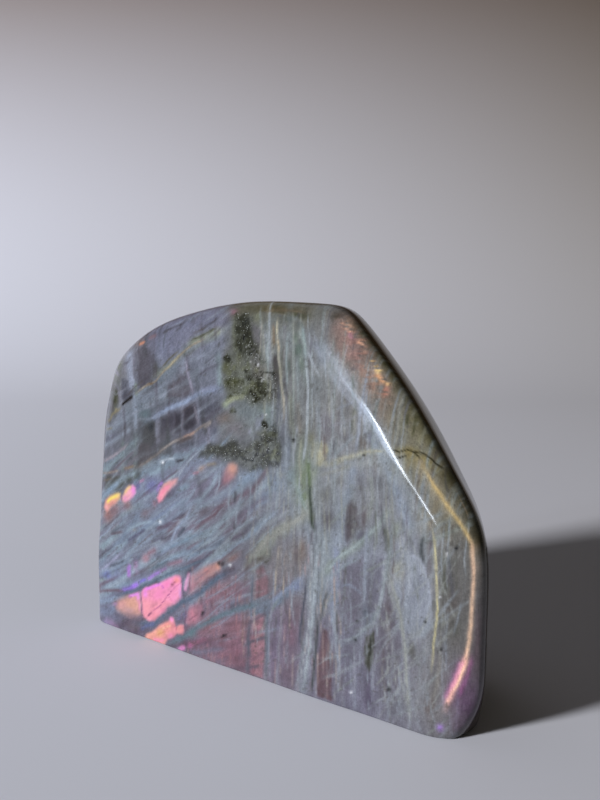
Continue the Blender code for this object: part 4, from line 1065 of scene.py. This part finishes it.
# Lone dark specks and white sparkles, each with its radius.
SPECKS: tuple[tuple[Place, float], ...] = (
    ((59.6, 45.4), 0.35), ((11, 65), 0.45), ((33.2, 63.6), 0.35), ((-12.8, 28.4), 0.5), ((-9.8, 9), 0.4),
    ((-18.4, 13.6), 0.4), ((44, 8.6), 0.5), ((34.4, 23), 0.35), ((57.6, 21.8), 0.3), ((33.8, 18.4), 0.35),
    ((53, 27.2), 0.35),
)
SPARKLES: tuple[tuple[Place, float], ...] = (
    ((-37.2, 52.9), 0.45), ((-37, 35.8), 0.5), ((-8.6, 28.8), 0.45), ((33.2, 5), 0.35), ((57.4, 43.8), 0.3),
    ((-7.2, 87.8), 0.3), ((-6.4, 88), 0.25), ((-2.6, 83.2), 0.4), ((-5.4, 83.6), 0.3), ((-1, 79.4), 0.25),
    ((-4, 86.4), 0.2), ((56.6, 33.6), 0.25), ((0.6, 64.8), 0.25), ((1.4, 70.6), 0.25), ((-8.8, 89.4), 0.2),
)


THREADS: tuple[Threads, ...] = (
    # Sheets of pale feldspar that fan out over the left half, with darker gaps.
    Threads(11, 84, (-68, 0, 9, 54), (25, 6), (12, 44), (0.3, 1.3), ("#8b9db0", "#93a6b8", "#8097aa",
        "#9aaab6", "#8ba0a8"), (0.3, 0.7), 0.004, 0.32),
    Threads(12, 70, (-68, 2, 0, 54), (24, 6), (6, 24), (0.3, 1.0), ("#54495a", "#5f5362", "#6a5460",
        "#50525f", "#5c4c54"), (0.3, 0.68), 0.004, 0.32),
    Threads(22, 64, (-68, 2, 18, 54), (26, 9), (8, 30), (0.16, 0.34), ("#9fb1bc", "#98abb8", "#a8b6be"),
        (0.2, 0.5), 0.004, 0.32),
    Threads(13, 30, (-64, -16, 48, 96), (27, 6), (8, 26), (0.22, 0.8), ("#8c939f", "#8f98a4", "#7f8890"),
        (0.2, 0.5), 0.003),
    Threads(14, 40, (-64, -16, 48, 94), (98, 5), (5, 16), (0.22, 0.8), ("#8c929e", "#9096a6", "#77818a"),
        (0.15, 0.45), 0.004),
    Threads(15, 36, (-64, -16, 48, 94), (98, 6), (4, 12), (0.25, 0.9), ("#4e4d54", "#57525a", "#474b4c"),
        (0.2, 0.5), 0.004),
    Threads(23, 36, (-64, -14, 46, 96), (28, 8), (3, 12), (0.2, 0.7), ("#4c4a4e", "#57545c", "#514b46"),
        (0.2, 0.5), 0.004),
    Threads(27, 110, (-27, 2, 0, 25), (92, 5), (1.6, 8), (0.14, 0.4), ("#57424c", "#7a5560", "#a3747a",
        "#a88684"), (0.25, 0.6), 0.0),
    # Upright threads on the right half, pale and dark, with a few sloping ones across them.
    Threads(16, 190, (-3, 62, 44, 98), (94, 4), (6, 30), (0.16, 0.36), ("#99a4a8", "#a2abb0", "#8f9c9c",
        "#9c9f92"), (0.2, 0.6), 0.003),
    Threads(26, 110, (-3, 62, 0, 46), (92, 4), (6, 26), (0.14, 0.3), ("#98a2ac", "#a0a9b0", "#909ba4",
        "#9c9c94"), (0.2, 0.55), 0.003),
    Threads(17, 110, (-3, 62, 0, 98), (94, 5), (3, 16), (0.18, 0.5), ("#54545a", "#5a5854", "#554f56",
        "#525648", "#5c5050"), (0.2, 0.5), 0.003),
    Threads(24, 30, (-3, 62, 40, 98), (93, 5), (8, 24), (0.6, 1.1), ("#848f94", "#8a9492", "#868c92"),
        (0.15, 0.35), 0.003),
    Threads(25, 150, (-3, 60, 40, 98), (80, 50), (0.8, 2.4), (0.25, 0.6), ("#5f605e", "#6a6c66", "#8a908c",
        "#909690", "#62626a"), (0.2, 0.5), 0.0),
    Threads(18, 46, (6, 58, 2, 66), (42, 10), (8, 22), (0.18, 0.5), ("#8c979c", "#949da0", "#8b958e"),
        (0.18, 0.5), 0.006),
    Threads(19, 34, (40, 60, 2, 48), (112, 6), (8, 22), (0.16, 0.36), ("#949da4", "#9aa09e"), (0.25, 0.6),
        0.003),
    Threads(20, 40, (40, 61, 2, 50), (58, 8), (6, 20), (0.16, 0.4), ("#8f979c", "#949a96"), (0.25, 0.6),
        0.003),
    Threads(21, 64, (-3, 30, 0, 38), (92, 2), (4, 16), (0.1, 0.18), ("#b0a099", "#aa9c92", "#a48e8e"),
        (0.25, 0.6), 0.001),
)


class StonePattern:
    """The stone's colours, laid over each other in turns as the real stone's layers lie.

    Each pattern reads a noise at the places moved by some millimetres of its own, so that no two
    patterns match.
    """

    # How the sheets shift across and up for each millimetre of depth.
    SLANT = (-0.30, 0.25)
    # How far lines wander, in millimetres, and over which length: slowly and finely.
    WANDER = (0.45, 6.0)
    SHIVER = (0.07, 1.1)
    # Where the sloping sheets end across the face, and how much that moves for each millimetre up.
    SLOPING_ENDS = (-20.0, 8.0)
    SLOPING_MOVES = 0.12
    # The slope of the wisps in degrees.
    WISP_TURN = 32.0
    # Depths over which the front's colours and the rim's painted highlight fade out.
    FRONT_FADE = (8.0, 22.0)
    RIM_FADE = (2.2, 4.0)
    # The fabric's slope in degrees at the base, and for each millimetre up.
    FABRIC_TURN = 24.0
    FABRIC_FAN = 0.3

    def __init__(self, places: Array, depth: Array) -> None:
        """Finds the place on the face that each point's layers come out at.

        The stone's sheets run through it from front to back, and shift by the slant, across and
        up, for each millimetre of depth.

        Args:
            places: The stone's points in millimetres, one a row.
            depth: How far each lies under the broad face and its bevels.
        """
        self.rough, self.fine = Noise(3), Noise(4)
        self.depth = depth
        away = np.maximum(depth - 1.0, 0.0)
        self.places = np.column_stack(
            (places[:, 0] + self.SLANT[0] * away, places[:, 1], places[:, 2] + self.SLANT[1] * away)
        )
        x, _, z = self.places.T
        wander = (self.rough, 40.0), (self.fine, -40.0)
        self.x, self.z = (
            line
            + self.WANDER[0] * noise.layered(self.places, self.WANDER[1])
            + self.SHIVER[0] * noise(self.places + away, self.SHIVER[1])
            for line, (noise, away) in zip((x, z), wander)
        )
        self.fray = 1.15 + 0.3 * self.rough(self.places, (0.9, 3.0, 0.9))
        along, across = turned(x, z, (0.0, 0.0), self.WISP_TURN)
        sheets = np.column_stack((along, self.places[:, 1], across))
        self.wisp = self.rough.layered(sheets, (9.0, 8.0, 0.9), 2)
        self.sloping = 1.0 - smooth_step(*self.SLOPING_ENDS, x - self.SLOPING_MOVES * z)
        self.front = 1.0 - smooth_step(*self.FRONT_FADE, depth)
        self.rim = 1.0 - smooth_step(*self.RIM_FADE, depth)
        self.flash, self.grains, self.lift = (np.zeros(len(places)) for _ in range(3))
        self.colour = np.zeros((len(places), 3))

    def lay(self, colour: str | Array, cover: Array, where: Array | slice = slice(None)) -> None:
        """Blends a colour over the places: new = old + (colour - old) x cover."""
        tone = rgb(colour) if isinstance(colour, str) else colour
        self.colour[where] += (tone - self.colour[where]) * np.clip(cover, 0.0, 1.0)[:, None]

    def near(self, box: tuple[float, float, float, float]) -> Array:
        """The numbers of the places inside a box."""
        x0, x1, z0, z1 = box
        return np.flatnonzero((self.x > x0) & (self.x < x1) & (self.z > z0) & (self.z < z1))

    def mark(self, item: Zone | Band | Patch, gain: Array | None = None) -> tuple[Array, Array]:
        """The places that a mark reaches, and its cover there times the gain."""
        where = self.near(item.box())
        cover = item.cover(self.x[where], self.z[where])
        return where, cover if gain is None else cover * gain[where]

    def lay_mark(self, item: Zone | Band | Patch, gain: Array | None = None) -> tuple[Array, Array]:
        """Lays a mark in its own colour, and returns the places that it reaches and its cover there."""
        where, cover = self.mark(item, gain)
        self.lay(item.colour, cover, where)
        return where, cover

    def ground(self) -> None:
        """The mean of the ground zones' colours, each weighted by its cover at a place."""
        x = self.places[:, 0] + 3.0 * self.rough(self.places, 9.0)
        z = self.places[:, 2] + 3.0 * self.fine(self.places, 9.0)
        total = np.full(len(x), 0.02)
        self.colour[:] = rgb("#757880") * 0.02
        for zone in GROUND:
            cover = zone.cover(x, z)
            self.colour += cover[:, None] * rgb(zone.colour)
            total += cover
        self.colour /= total[:, None]

    def fabric(self) -> None:
        """Streaks of noise drawn out along the sheets: pale where it is high, dark where it is low.

        On the left they slope more with the height, so that they fan out, and on the right they
        stand upright.
        """
        x, y, z = self.places.T
        turn = np.radians(self.FABRIC_TURN + self.FABRIC_FAN * np.clip(z, 0.0, 60.0))
        along, across = x * np.cos(turn) + z * np.sin(turn), z * np.cos(turn) - x * np.sin(turn)
        sloped = np.column_stack((along, y, across))
        left, right = self.sloping, 1.0 - self.sloping
        for points, noise, cells, layers, side, pale, dark, strength in (
            (sloped, self.fine, (16.0, 9.0, 2.6), 3, left, "#8ea2b4", "#625766", 0.24),
            (self.places, self.fine, (2.4, 9.0, 17.0), 3, right, "#9ba8b0", "#5f5a5c", 0.24),
            (sloped, self.rough, (9.0, 6.0, 0.8), 2, left, "#93a8b8", "#5c505c", 0.09),
            (self.places, self.rough, (0.7, 6.0, 8.0), 2, right, "#a5b2b8", "#56524f", 0.09),
        ):
            value = noise.layered(points, cells, layers)
            self.lay(pale, strength * side * smooth_step(0.02, 0.7, value))
            self.lay(dark, strength * side * smooth_step(0.02, 0.7, -value))

    def threads(self) -> None:
        """Strokes whose cover is e^-(across / width)^2, fading out towards both ends."""
        for family in THREADS:
            for centre, angle, length, width, colour, strength, bend in family.strokes():
                half = length * 0.62
                where = self.near((centre[0] - half, centre[0] + half, centre[1] - half, centre[1] + half))
                along, across = turned(self.x[where], self.z[where], centre, angle)
                across = across - bend * (along**2 - length**2 / 12.0)
                ends = 1.0 - smooth_step(0.28, 0.5, np.abs(along) / length)
                self.lay(colour, np.exp(-((across / width) ** 2)) * ends * strength * self.fray[where], where)

    def marks(self, thin: bool) -> None:
        """The veils, veins and stains, and the painted highlights and shade by the ridges, placed one by one:
        either the broad or the thin ones.
        """
        for item in MARKS:
            if thin != (isinstance(item, Band) and item.width < 0.7):
                continue
            self.lay_mark(item, self.fray)

    def clouds(self) -> None:
        """Whole areas made smokier or milkier, and the olive tint of the ground side behind the bevel."""
        for item in CLOUDS:
            self.lay_mark(item)
        behind = smooth_step(0.8, 4.0, self.depth) * smooth_step(15.0, 45.0, self.places[:, 0])
        self.lay("#3f3926", 0.68 * behind)

    def flashes(self) -> None:
        """The play of colour, broken by wisps, with the dark lines that cut it."""
        for item in HUES:
            self.lay_mark(item, (0.85 + 0.5 * self.wisp) * self.front)
        fine = self.fine(self.places + 9.0, 0.5)
        flashes = [(flash, self.front) for flash in FLASHES]
        flashes += [(flash, 1.0 - self.front) for flash in BACK_FLASHES]
        for flash, shown in flashes:
            where, cover = self.mark(flash.patch, (1.0 + 0.22 * np.minimum(self.wisp + 0.3, 0.0)) * shown)
            tone = flash.colours(self.x[where], self.z[where])
            self.lay(tone * (1.0 + 0.07 * fine[where] + 0.12 * self.wisp[where])[:, None], cover, where)
            self.flash[where] = np.maximum(self.flash[where], cover)
        for item in GLINTS:
            self.lay_mark(item, (1.0 + 0.3 * self.wisp) * self.front)
        for item in CUTS:
            where, cover = self.lay_mark(item, self.fray * self.front)
            self.flash[where] *= 1.0 - 0.8 * np.clip(cover, 0.0, 1.0)

    def edge_highlights(self) -> None:
        """Painted highlights where the bevel turns into the side, over play of colour, and in level dashes.
        """
        for item in EDGE_HIGHLIGHT_AND_FLASH:
            where, cover = self.mark(item, self.rim)
            uneven = 0.9 + 0.16 * self.fine(self.places[where], (0.6, 0.6, 0.8))
            self.lay(item.colour, cover * uneven, where)
            # The painted highlight is lifted brighter still, for an edge that gets little light.
            self.lift[where] = np.maximum(self.lift[where], cover * 0.45)
        # Noise that breaks the painted highlight's streak into short dashes.
        highlight_dash = self.fine(self.places + 21.0, (1.7, 2.0, 0.42))
        highlight_dash += 0.5 * self.rough(self.places, (2.6, 2.0, 1.1))
        for item in HIGHLIGHT_DASHES:
            where, cover = self.mark(item, self.rim)
            self.lay(item.colour, cover * smooth_step(-0.35, 0.45, highlight_dash[where]), where)

    def inclusions(self) -> None:
        """Grey-olive ground with dark clumps. Its single grains are left to the material."""
        clumps = self.rough.layered(self.places + 11.0, 2.6, 3)
        stain = smooth_step(0.0, 0.5, self.fine(self.places + 3.0, 1.6) + 0.3 * clumps)
        blobs = self.fine.layered(self.places + 31.0, (1.2, 1.2, 0.9), 3) + 0.45 * clumps
        for cluster in CLUSTERS:
            where = self.near(cluster.patch.box())
            ragged = 1.5 * clumps[where]
            cover = cluster.patch.cover(self.x[where] + ragged, self.z[where] - ragged)
            self.lay("#6e7268", cover * 0.4, where)
            self.lay("#6c7050", cover * stain[where] * 0.4, where)
            dark = smooth_step(-0.4, 0.5, 1.3 * clumps[where] + (cluster.fill - 0.6) * 1.6)
            self.lay(cluster.patch.colour, cover * dark * 0.35, where)
            black = smooth_step(0.0, 0.3, blobs[where] + (cluster.fill - 0.62) * 1.5)
            self.lay(cluster.patch.colour, cover * black * 0.85, where)
            fill = cover * np.clip(cluster.fill * (0.35 + 0.9 * dark), 0.0, 1.0)
            self.grains[where] = np.maximum(self.grains[where], fill)
        for route in CRACKS:
            item = Band(route, 0.17, "#2c2a1e", 0.85, 0.1)
            where = self.near(item.box())
            self.lay(item.colour, item.cover(self.places[where, 0], self.places[where, 2]), where)
        for spots, colour in ((SPECKS, "#1c1c1a"), (SPARKLES, "#f4f8fa")):
            for centre, radius in spots:
                self.lay_mark(Zone(centre, (radius, radius), colour, 0.95))

    def grain(self) -> None:
        """Fine mottling over everything: brightness times 1 + 0.11 a + 0.09 b for two noises."""
        speck = 0.6 * self.rough(self.places + 7.0, (0.5, 0.5, 0.7))
        speck += 0.4 * self.fine(self.places + 2.0, (0.28, 0.3, 0.45))
        mottle = self.fine.layered(self.places + 50.0, (2.2, 3.0, 3.6))
        self.colour *= (1.0 + (0.11 * speck + 0.09 * mottle) * (1.0 - 0.6 * self.flash))[:, None]
        pits = 0.35 * smooth_step(0.62, 0.8, self.rough(self.places + 77.0, 0.6))
        self.lay("#4c4b46", pits * (1.0 - self.flash))

    def paint(self) -> Array:
        """Lays every layer in turn and returns the sRGB colour of each place."""
        self.ground()
        self.fabric()
        self.marks(thin=False)
        self.threads()
        self.marks(thin=True)
        self.clouds()
        self.flashes()
        self.inclusions()
        self.edge_highlights()
        self.grain()
        return np.clip(self.colour, 0.0, 1.0)


def colour_of(code: str) -> tuple[float, float, float, float]:
    """A hex colour as a shader's linear one, with full cover."""
    return (*to_linear(rgb(code)), 1.0)


def add_node(
    tree: bpy.types.NodeTree, kind: str, links: dict | None = None, values: dict | None = None, **settings
) -> bpy.types.Node:
    """Adds a node to a material.

    Args:
        tree: The material's node tree.
        kind: The node's type.
        links: The output that feeds each of its inputs.
        values: The constant of each input that has one.
        **settings: The node's own settings.

    Returns:
        The new node.
    """
    node = tree.nodes.new(kind)
    for name, value in settings.items():
        setattr(node, name, value)
    for name, value in (values or {}).items():
        node.inputs[name].default_value = value
    for name, output in (links or {}).items():
        tree.links.new(output, node.inputs[name])
    return node


class PolishedLabradorite:
    """Labradorite feldspar, ground flat and polished by hand.

    The polish gives a clear, sharp gloss over a stone that is cloudy and fibrous just under it, so
    the body colour is matt and the shine is a thin coat.
    """

    NAME = "polished_labradorite"
    IOR = 1.56
    BODY_ROUGHNESS = 0.55
    POLISH_ROUGHNESS = 0.11
    GRAIN = "#282920"
    SPARKLE = "#c4cac8"
    # The middle of a noise's values, and by how much fibres and specks lighten and darken the paint.
    NOISE_SPAN = (0.3, 0.7)
    FIBRE_SWING = 0.1
    SPECK_SWING = 0.18
    # The cluster densities over which grains appear, and how much the density adds to their noise.
    PRESENT_SPAN = (0.02, 0.15)
    DENSITY_SHARE = 0.3
    # The values over which grains and sparkles show, and how strongly.
    GRAIN_SPAN = (0.665, 0.735, 0.75)
    SPARKLE_SPAN = (0.70, 0.76, 0.8)
    # Each noise's cells in millimetres across, in and up, its turn in degrees and its detail. The
    # fibres, really under 0.1 mm wide, and the grains of 0.2 mm are drawn as coarse as they can show.
    NOISES = (
        ("upright", (0.22, 1.5, 4.0), 0.0, 2.0),
        ("sloped", (4.0, 1.5, 0.3), 32.0, 2.0),
        ("speck", (0.42, 0.42, 0.42), 0.0, 3.0),
        ("grain", (0.5, 0.5, 0.6), 0.0, 3.0),
        ("sparkle", (0.3, 0.3, 0.3), 0.0, 1.0),
    )

    def build(self) -> bpy.types.Material:
        """Paint from the stone's own attributes, with grain and fibres too fine for its points."""
        material = bpy.data.materials.new(self.NAME)
        material.use_nodes = True
        tree = material.node_tree
        tree.nodes.clear()
        place = add_node(tree, "ShaderNodeTexCoord").outputs["Object"]
        paint = add_node(tree, "ShaderNodeAttribute", attribute_name="paint").outputs["Color"]
        sloping, flash, density = (
            add_node(tree, "ShaderNodeAttribute", attribute_name=name).outputs["Fac"]
            for name in ("sloping", "flash", "grains")
        )
        noise = {}
        for name, cells, degrees, detail in self.NOISES:
            turned_place = add_node(
                tree, "ShaderNodeMapping", {"Vector": place}, {"Rotation": (0.0, math.radians(degrees), 0.0)}
            ).outputs["Vector"]
            scale = {"Scale": tuple(1.0 / (size * MM) for size in cells)}
            drawn = add_node(tree, "ShaderNodeMapping", {"Vector": turned_place}, scale).outputs["Vector"]
            settings = {"Scale": 1.0, "Detail": detail, "Roughness": 0.65}
            noise[name] = add_node(tree, "ShaderNodeTexNoise", {"Vector": drawn}, settings).outputs["Fac"]
        fibre = add_node(
            tree, "ShaderNodeMix", {0: sloping, 2: noise["upright"], 3: noise["sloped"]}, data_type="FLOAT"
        ).outputs[0]
        low, high = self.NOISE_SPAN
        gains = [
            add_node(
                tree, "ShaderNodeMapRange", {"Value": value},
                {"From Min": low, "From Max": high, "To Min": 1.0 - swing, "To Max": 1.0 + swing},
            ).outputs["Result"]
            for value, swing in ((fibre, self.FIBRE_SWING), (noise["speck"], self.SPECK_SWING))
        ]
        gain = add_node(tree, "ShaderNodeMath", dict(enumerate(gains)), operation="MULTIPLY").outputs["Value"]
        calm = add_node(tree, "ShaderNodeMix", {0: flash, 2: gain}, {3: 1.0}, data_type="FLOAT").outputs[0]
        body = add_node(
            tree, "ShaderNodeVectorMath", {"Vector": paint, "Scale": calm}, operation="SCALE"
        ).outputs["Vector"]
        low, high = self.PRESENT_SPAN
        span = {"From Min": low, "From Max": high}
        present = add_node(tree, "ShaderNodeMapRange", {"Value": density}, span).outputs["Result"]
        weight = {1: self.DENSITY_SHARE}
        thick = add_node(
            tree, "ShaderNodeMath", {0: density, 2: noise["grain"]}, weight, operation="MULTIPLY_ADD"
        ).outputs["Value"]
        for value, (low, high, most), colour in (
            (thick, self.GRAIN_SPAN, self.GRAIN), (noise["sparkle"], self.SPARKLE_SPAN, self.SPARKLE)
        ):
            span = {"From Min": low, "From Max": high, "To Max": most}
            shown = add_node(tree, "ShaderNodeMapRange", {"Value": value}, span).outputs["Result"]
            share = add_node(
                tree, "ShaderNodeMath", {0: shown, 1: present}, operation="MULTIPLY"
            ).outputs["Value"]
            body = add_node(
                tree, "ShaderNodeMix", {0: share, 6: body}, {7: colour_of(colour)}, data_type="RGBA"
            ).outputs[2]
        constants = {
            "Roughness": self.BODY_ROUGHNESS,
            "IOR": self.IOR,
            "Specular IOR Level": 0.0,
            "Coat Weight": 1.0,
            "Coat Roughness": self.POLISH_ROUGHNESS,
            "Coat IOR": self.IOR,
        }
        shader = add_node(tree, "ShaderNodeBsdfPrincipled", {"Base Color": body}, constants)
        add_node(tree, "ShaderNodeOutputMaterial", {"Surface": shader.outputs["BSDF"]})
        return material


@dataclass(frozen=True)
class Stone:
    """The whole freeform: its cast surface, its painted pattern and its polish."""

    block: CastBlock = CastBlock()
    tone: float = 0.52
    haze: float = 0.006
    darkest: float = 0.004
    palest: float = 0.96

    def mesh(self, places: Array, corners: Array, sizes: Array) -> bpy.types.Mesh:
        """The closed surface as a Blender mesh, in metres, with smooth faces."""
        mesh = bpy.data.meshes.new("labradorite_stone")
        mesh.vertices.add(len(places))
        mesh.vertices.foreach_set("co", (places * MM).ravel())
        mesh.loops.add(len(corners))
        mesh.loops.foreach_set("vertex_index", corners)
        mesh.polygons.add(len(sizes))
        mesh.polygons.foreach_set("loop_start", np.concatenate(([0], np.cumsum(sizes)[:-1])))
        mesh.polygons.foreach_set("loop_total", sizes)
        mesh.update(calc_edges=True)
        mesh.validate()
        mesh.shade_smooth()
        return mesh

    def attributes(self, mesh: bpy.types.Mesh, places: Array, shift: Array) -> None:
        """Paints the points: linear albedo is the shown colour times the tone, raised by the edge's painted
        highlight lift, less the coat's haze.

        Args:
            mesh: The stone's mesh.
            places: Its points in millimetres, set down over the origin.
            shift: What takes them back to the flats' own axes.
        """
        pattern = StonePattern(places, self.block.shape.depth(places + shift))
        colour = pattern.paint()
        albedo = to_linear(colour) * (self.tone * (1.0 + pattern.lift))[:, None] - self.haze
        albedo = np.clip(albedo, self.darkest, self.palest)
        paint = mesh.attributes.new("paint", "FLOAT_COLOR", "POINT")
        paint.data.foreach_set("color", np.column_stack((albedo, np.ones(len(albedo)))).ravel())
        for name in ("sloping", "flash", "grains"):
            mesh.attributes.new(name, "FLOAT", "POINT").data.foreach_set("value", getattr(pattern, name))

    def build(self) -> bpy.types.Object:
        """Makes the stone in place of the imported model's solid."""
        places, corners, sizes = self.block.build()
        low, high = places.min(axis=0), places.max(axis=0)
        shift = np.array(((low[0] + high[0]) / 2.0, (low[1] + high[1]) / 2.0, low[2]))
        places = places - shift
        mesh = self.mesh(places, corners, sizes)
        self.attributes(mesh, places, shift)
        mesh.materials.append(PolishedLabradorite().build())
        stone = bpy.data.objects.new("labradorite_stone", mesh)
        bpy.context.scene.collection.objects.link(stone)
        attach(stone, "root")
        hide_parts("freeform_stone")
        log.info("stone: %d points, %d faces, box %s mm", len(places), len(sizes), np.round(high - low, 2))
        return stone


@dataclass(frozen=True)
class MattPaper:
    """The sweep's paper: pale on the floor, with painted shade browner up the wall and towards the right,
    with no gloss.
    """

    floor: str
    # The wall's and the right's colours are painted shade: the paper browns upwards and darkens towards the
    # right.
    wall: str
    right: str
    rightwards: tuple[float, float]
    rise: float = 0.75
    half_spread: float = 0.6

    def build(self) -> bpy.types.Material:
        """Mixes the floor's colour into the wall's painted shade over the rise, times the right's painted
        shade over the spread.
        """
        material = bpy.data.materials.new("matt_paper")
        material.use_nodes = True
        tree = material.node_tree
        tree.nodes.clear()
        place = add_node(tree, "ShaderNodeTexCoord").outputs["Object"]
        up = add_node(tree, "ShaderNodeSeparateXYZ", {"Vector": place}).outputs["Z"]
        rise = add_node(tree, "ShaderNodeMapRange", {"Value": up}, {"From Max": self.rise}).outputs["Result"]
        ends = {6: colour_of(self.floor), 7: colour_of(self.wall)}
        body = add_node(tree, "ShaderNodeMix", {0: rise}, ends, data_type="RGBA").outputs[2]
        side = add_node(
            tree, "ShaderNodeVectorMath", {0: place}, {1: (*self.rightwards, 0.0)}, operation="DOT_PRODUCT"
        ).outputs["Value"]
        span = {"From Min": -self.half_spread, "From Max": self.half_spread}
        share = add_node(tree, "ShaderNodeMapRange", {"Value": side}, span).outputs["Result"]
        ends = {7: colour_of(self.right)}
        body = add_node(
            tree, "ShaderNodeMix", {0: share, 6: body}, ends, data_type="RGBA", blend_type="MULTIPLY"
        ).outputs[2]
        constants = {"Roughness": 0.9, "Specular IOR Level": 0.1}
        shader = add_node(tree, "ShaderNodeBsdfPrincipled", {"Base Color": body}, constants)
        add_node(tree, "ShaderNodeOutputMaterial", {"Surface": shader.outputs["BSDF"]})
        return material


@dataclass(frozen=True)
class Card:
    """A flat light that faces the stone, placed by the direction it is seen in from the stone."""

    name: str
    azimuth: float
    elevation: float
    distance: float
    width: float
    height: float
    glow: float
    colour: str = "#ffffff"

    def build(self, target: Vector) -> bpy.types.Object:
        """Adds the light. Its glow is its radiance, so its power is pi x width x height x glow."""
        light = bpy.data.lights.new(self.name, "AREA")
        light.shape = "RECTANGLE"
        light.size, light.size_y = self.width, self.height
        light.energy = math.pi * self.width * self.height * self.glow
        light.color = to_linear(rgb(self.colour))
        card = bpy.data.objects.new(self.name, light)
        card.location = target + Vector(GroundShape.facing(self.azimuth, self.elevation)) * self.distance
        card.rotation_euler = (target - card.location).to_track_quat("-Z", "Y").to_euler()
        bpy.context.scene.collection.objects.link(card)
        return card


@dataclass(frozen=True)
class Studio:
    """A pale sweep with painted shade up the wall and to the right, soft daylight from the front and a warm
    lamp on the right.
    """

    target: tuple[float, float, float] = (0.0, 0.0, 0.045)
    room: str = "#c8c4be"
    room_strength: float = 0.10
    floor_colour: str = "#ecf3ff"
    # Painted shade on the sweep: brown towards the top of the wall and darker towards the right.
    wall_shade_colour: str = "#624b30"
    right_shade_colour: str = "#a0988a"
    sweep_radius: float = 1.3
    sweep_before: float = 2.5
    sweep_run: float = 0.5
    sweep_top: float = 2.6
    sweep_half_width: float = 3.0
    sweep_steps: int = 32
    day_azimuth: float = -22.0
    day_elevation: float = 18.0
    day_strength: float = 5.55
    day_spread: float = 9.0
    day_colour: str = "#fdfaff"
    cards: tuple[Card, ...] = (
        Card("window", -17.0, 10.6, 1.1, 0.062, 0.25, 26.0, "#eaf3ff"),
        Card("window_top", -17.4, 17.6, 1.1, 0.046, 0.07, 24.0, "#dcebff"),
        Card("window_bar", -21.0, 11.0, 1.13, 0.14, 0.27, 5.2, "#cfe2ff"),
        Card("window_side", -26.0, 10.6, 1.16, 0.24, 0.23, 2.1, "#c4daff"),
        Card("window_far", -35.0, 10.6, 1.2, 0.28, 0.18, 0.7, "#c4daff"),
        Card("sky", -95.0, 62.0, 1.2, 0.9, 0.9, 0.35, "#e8ecff"),
        Card("lamp", 82.0, 44.0, 0.7, 0.06, 0.08, 2.0, "#ffcf9c"),
    )

    def sweep(self) -> bpy.types.Object:
        """Floor and wall in one sheet: level, then a quarter round, then upright, along Y."""
        turn = np.linspace(0.0, math.pi / 2.0, self.sweep_steps)
        r, run, side = self.sweep_radius, self.sweep_run, self.sweep_half_width
        away = np.concatenate(([-self.sweep_before], run + r * np.sin(turn), [run + r]))
        up = np.concatenate(([0.0], r - r * np.cos(turn), [self.sweep_top]))
        heading = math.radians(VIEW_HEADING)
        forward = np.array((-math.sin(heading), math.cos(heading)))
        right = np.array((math.cos(heading), math.sin(heading)))
        points = [(*(forward * a + right * s), u) for s in (-side, side) for a, u in zip(away, up)]
        n = len(away)
        mesh = bpy.data.meshes.new("sweep")
        mesh.from_pydata(points, [], [(i, n + i, n + i + 1, i + 1) for i in range(n - 1)])
        mesh.shade_smooth()
        paper = MattPaper(self.floor_colour, self.wall_shade_colour, self.right_shade_colour, tuple(right))
        mesh.materials.append(paper.build())
        sweep = bpy.data.objects.new("sweep", mesh)
        bpy.context.scene.collection.objects.link(sweep)
        return sweep

    def build(self) -> None:
        """Sets up the sweep, the room's light, the cards and the way that colours are shown."""
        self.sweep()
        world = bpy.data.worlds.new("room")
        world.use_nodes = True
        background = world.node_tree.nodes["Background"]
        background.inputs["Color"].default_value = colour_of(self.room)
        background.inputs["Strength"].default_value = self.room_strength
        bpy.context.scene.world = world
        for card in self.cards:
            card.build(Vector(self.target))
        day = bpy.data.lights.new("daylight", "SUN")
        day.energy = self.day_strength
        day.angle = math.radians(self.day_spread)
        day.color = to_linear(rgb(self.day_colour))
        sun = bpy.data.objects.new("daylight", day)
        towards = Vector(GroundShape.facing(self.day_azimuth, self.day_elevation))
        sun.rotation_euler = towards.to_track_quat("Z", "Y").to_euler()
        sun.visible_glossy = False
        bpy.context.scene.collection.objects.link(sun)
        bpy.context.scene.view_settings.view_transform = "Standard"
        bpy.context.scene.view_settings.look = "None"


@dataclass(frozen=True)
class PhotographView:
    """The camera, at an estimate of the place that the photograph was taken from."""

    position: tuple[float, float, float] = (169.81, -213.89, 110.5)
    heading: float = VIEW_HEADING
    pitch_down: float = 7.97
    lens: float = 45.0
    sensor: float = 36.0

    def build(self) -> None:
        """Adds the camera: 45 mm on a 36 mm sensor is 1000 pixels of focal length over 800."""
        camera = bpy.data.cameras.new("camera")
        camera.lens = self.lens
        camera.sensor_width = self.sensor
        camera.clip_start = 0.01
        camera.clip_end = 20.0
        eye = bpy.data.objects.new("camera", camera)
        eye.location = Vector(self.position) * MM
        eye.rotation_euler = (math.radians(90.0 - self.pitch_down), 0.0, math.radians(self.heading))
        bpy.context.scene.collection.objects.link(eye)
        bpy.context.scene.camera = eye


def main() -> None:
    """Builds the stone, the studio and the camera, in that order."""
    logging.basicConfig(level=logging.INFO, format="%(name)s: %(message)s")
    Stone().build()
    Studio().build()
    PhotographView().build()


if __name__ == "__main__":
    main()
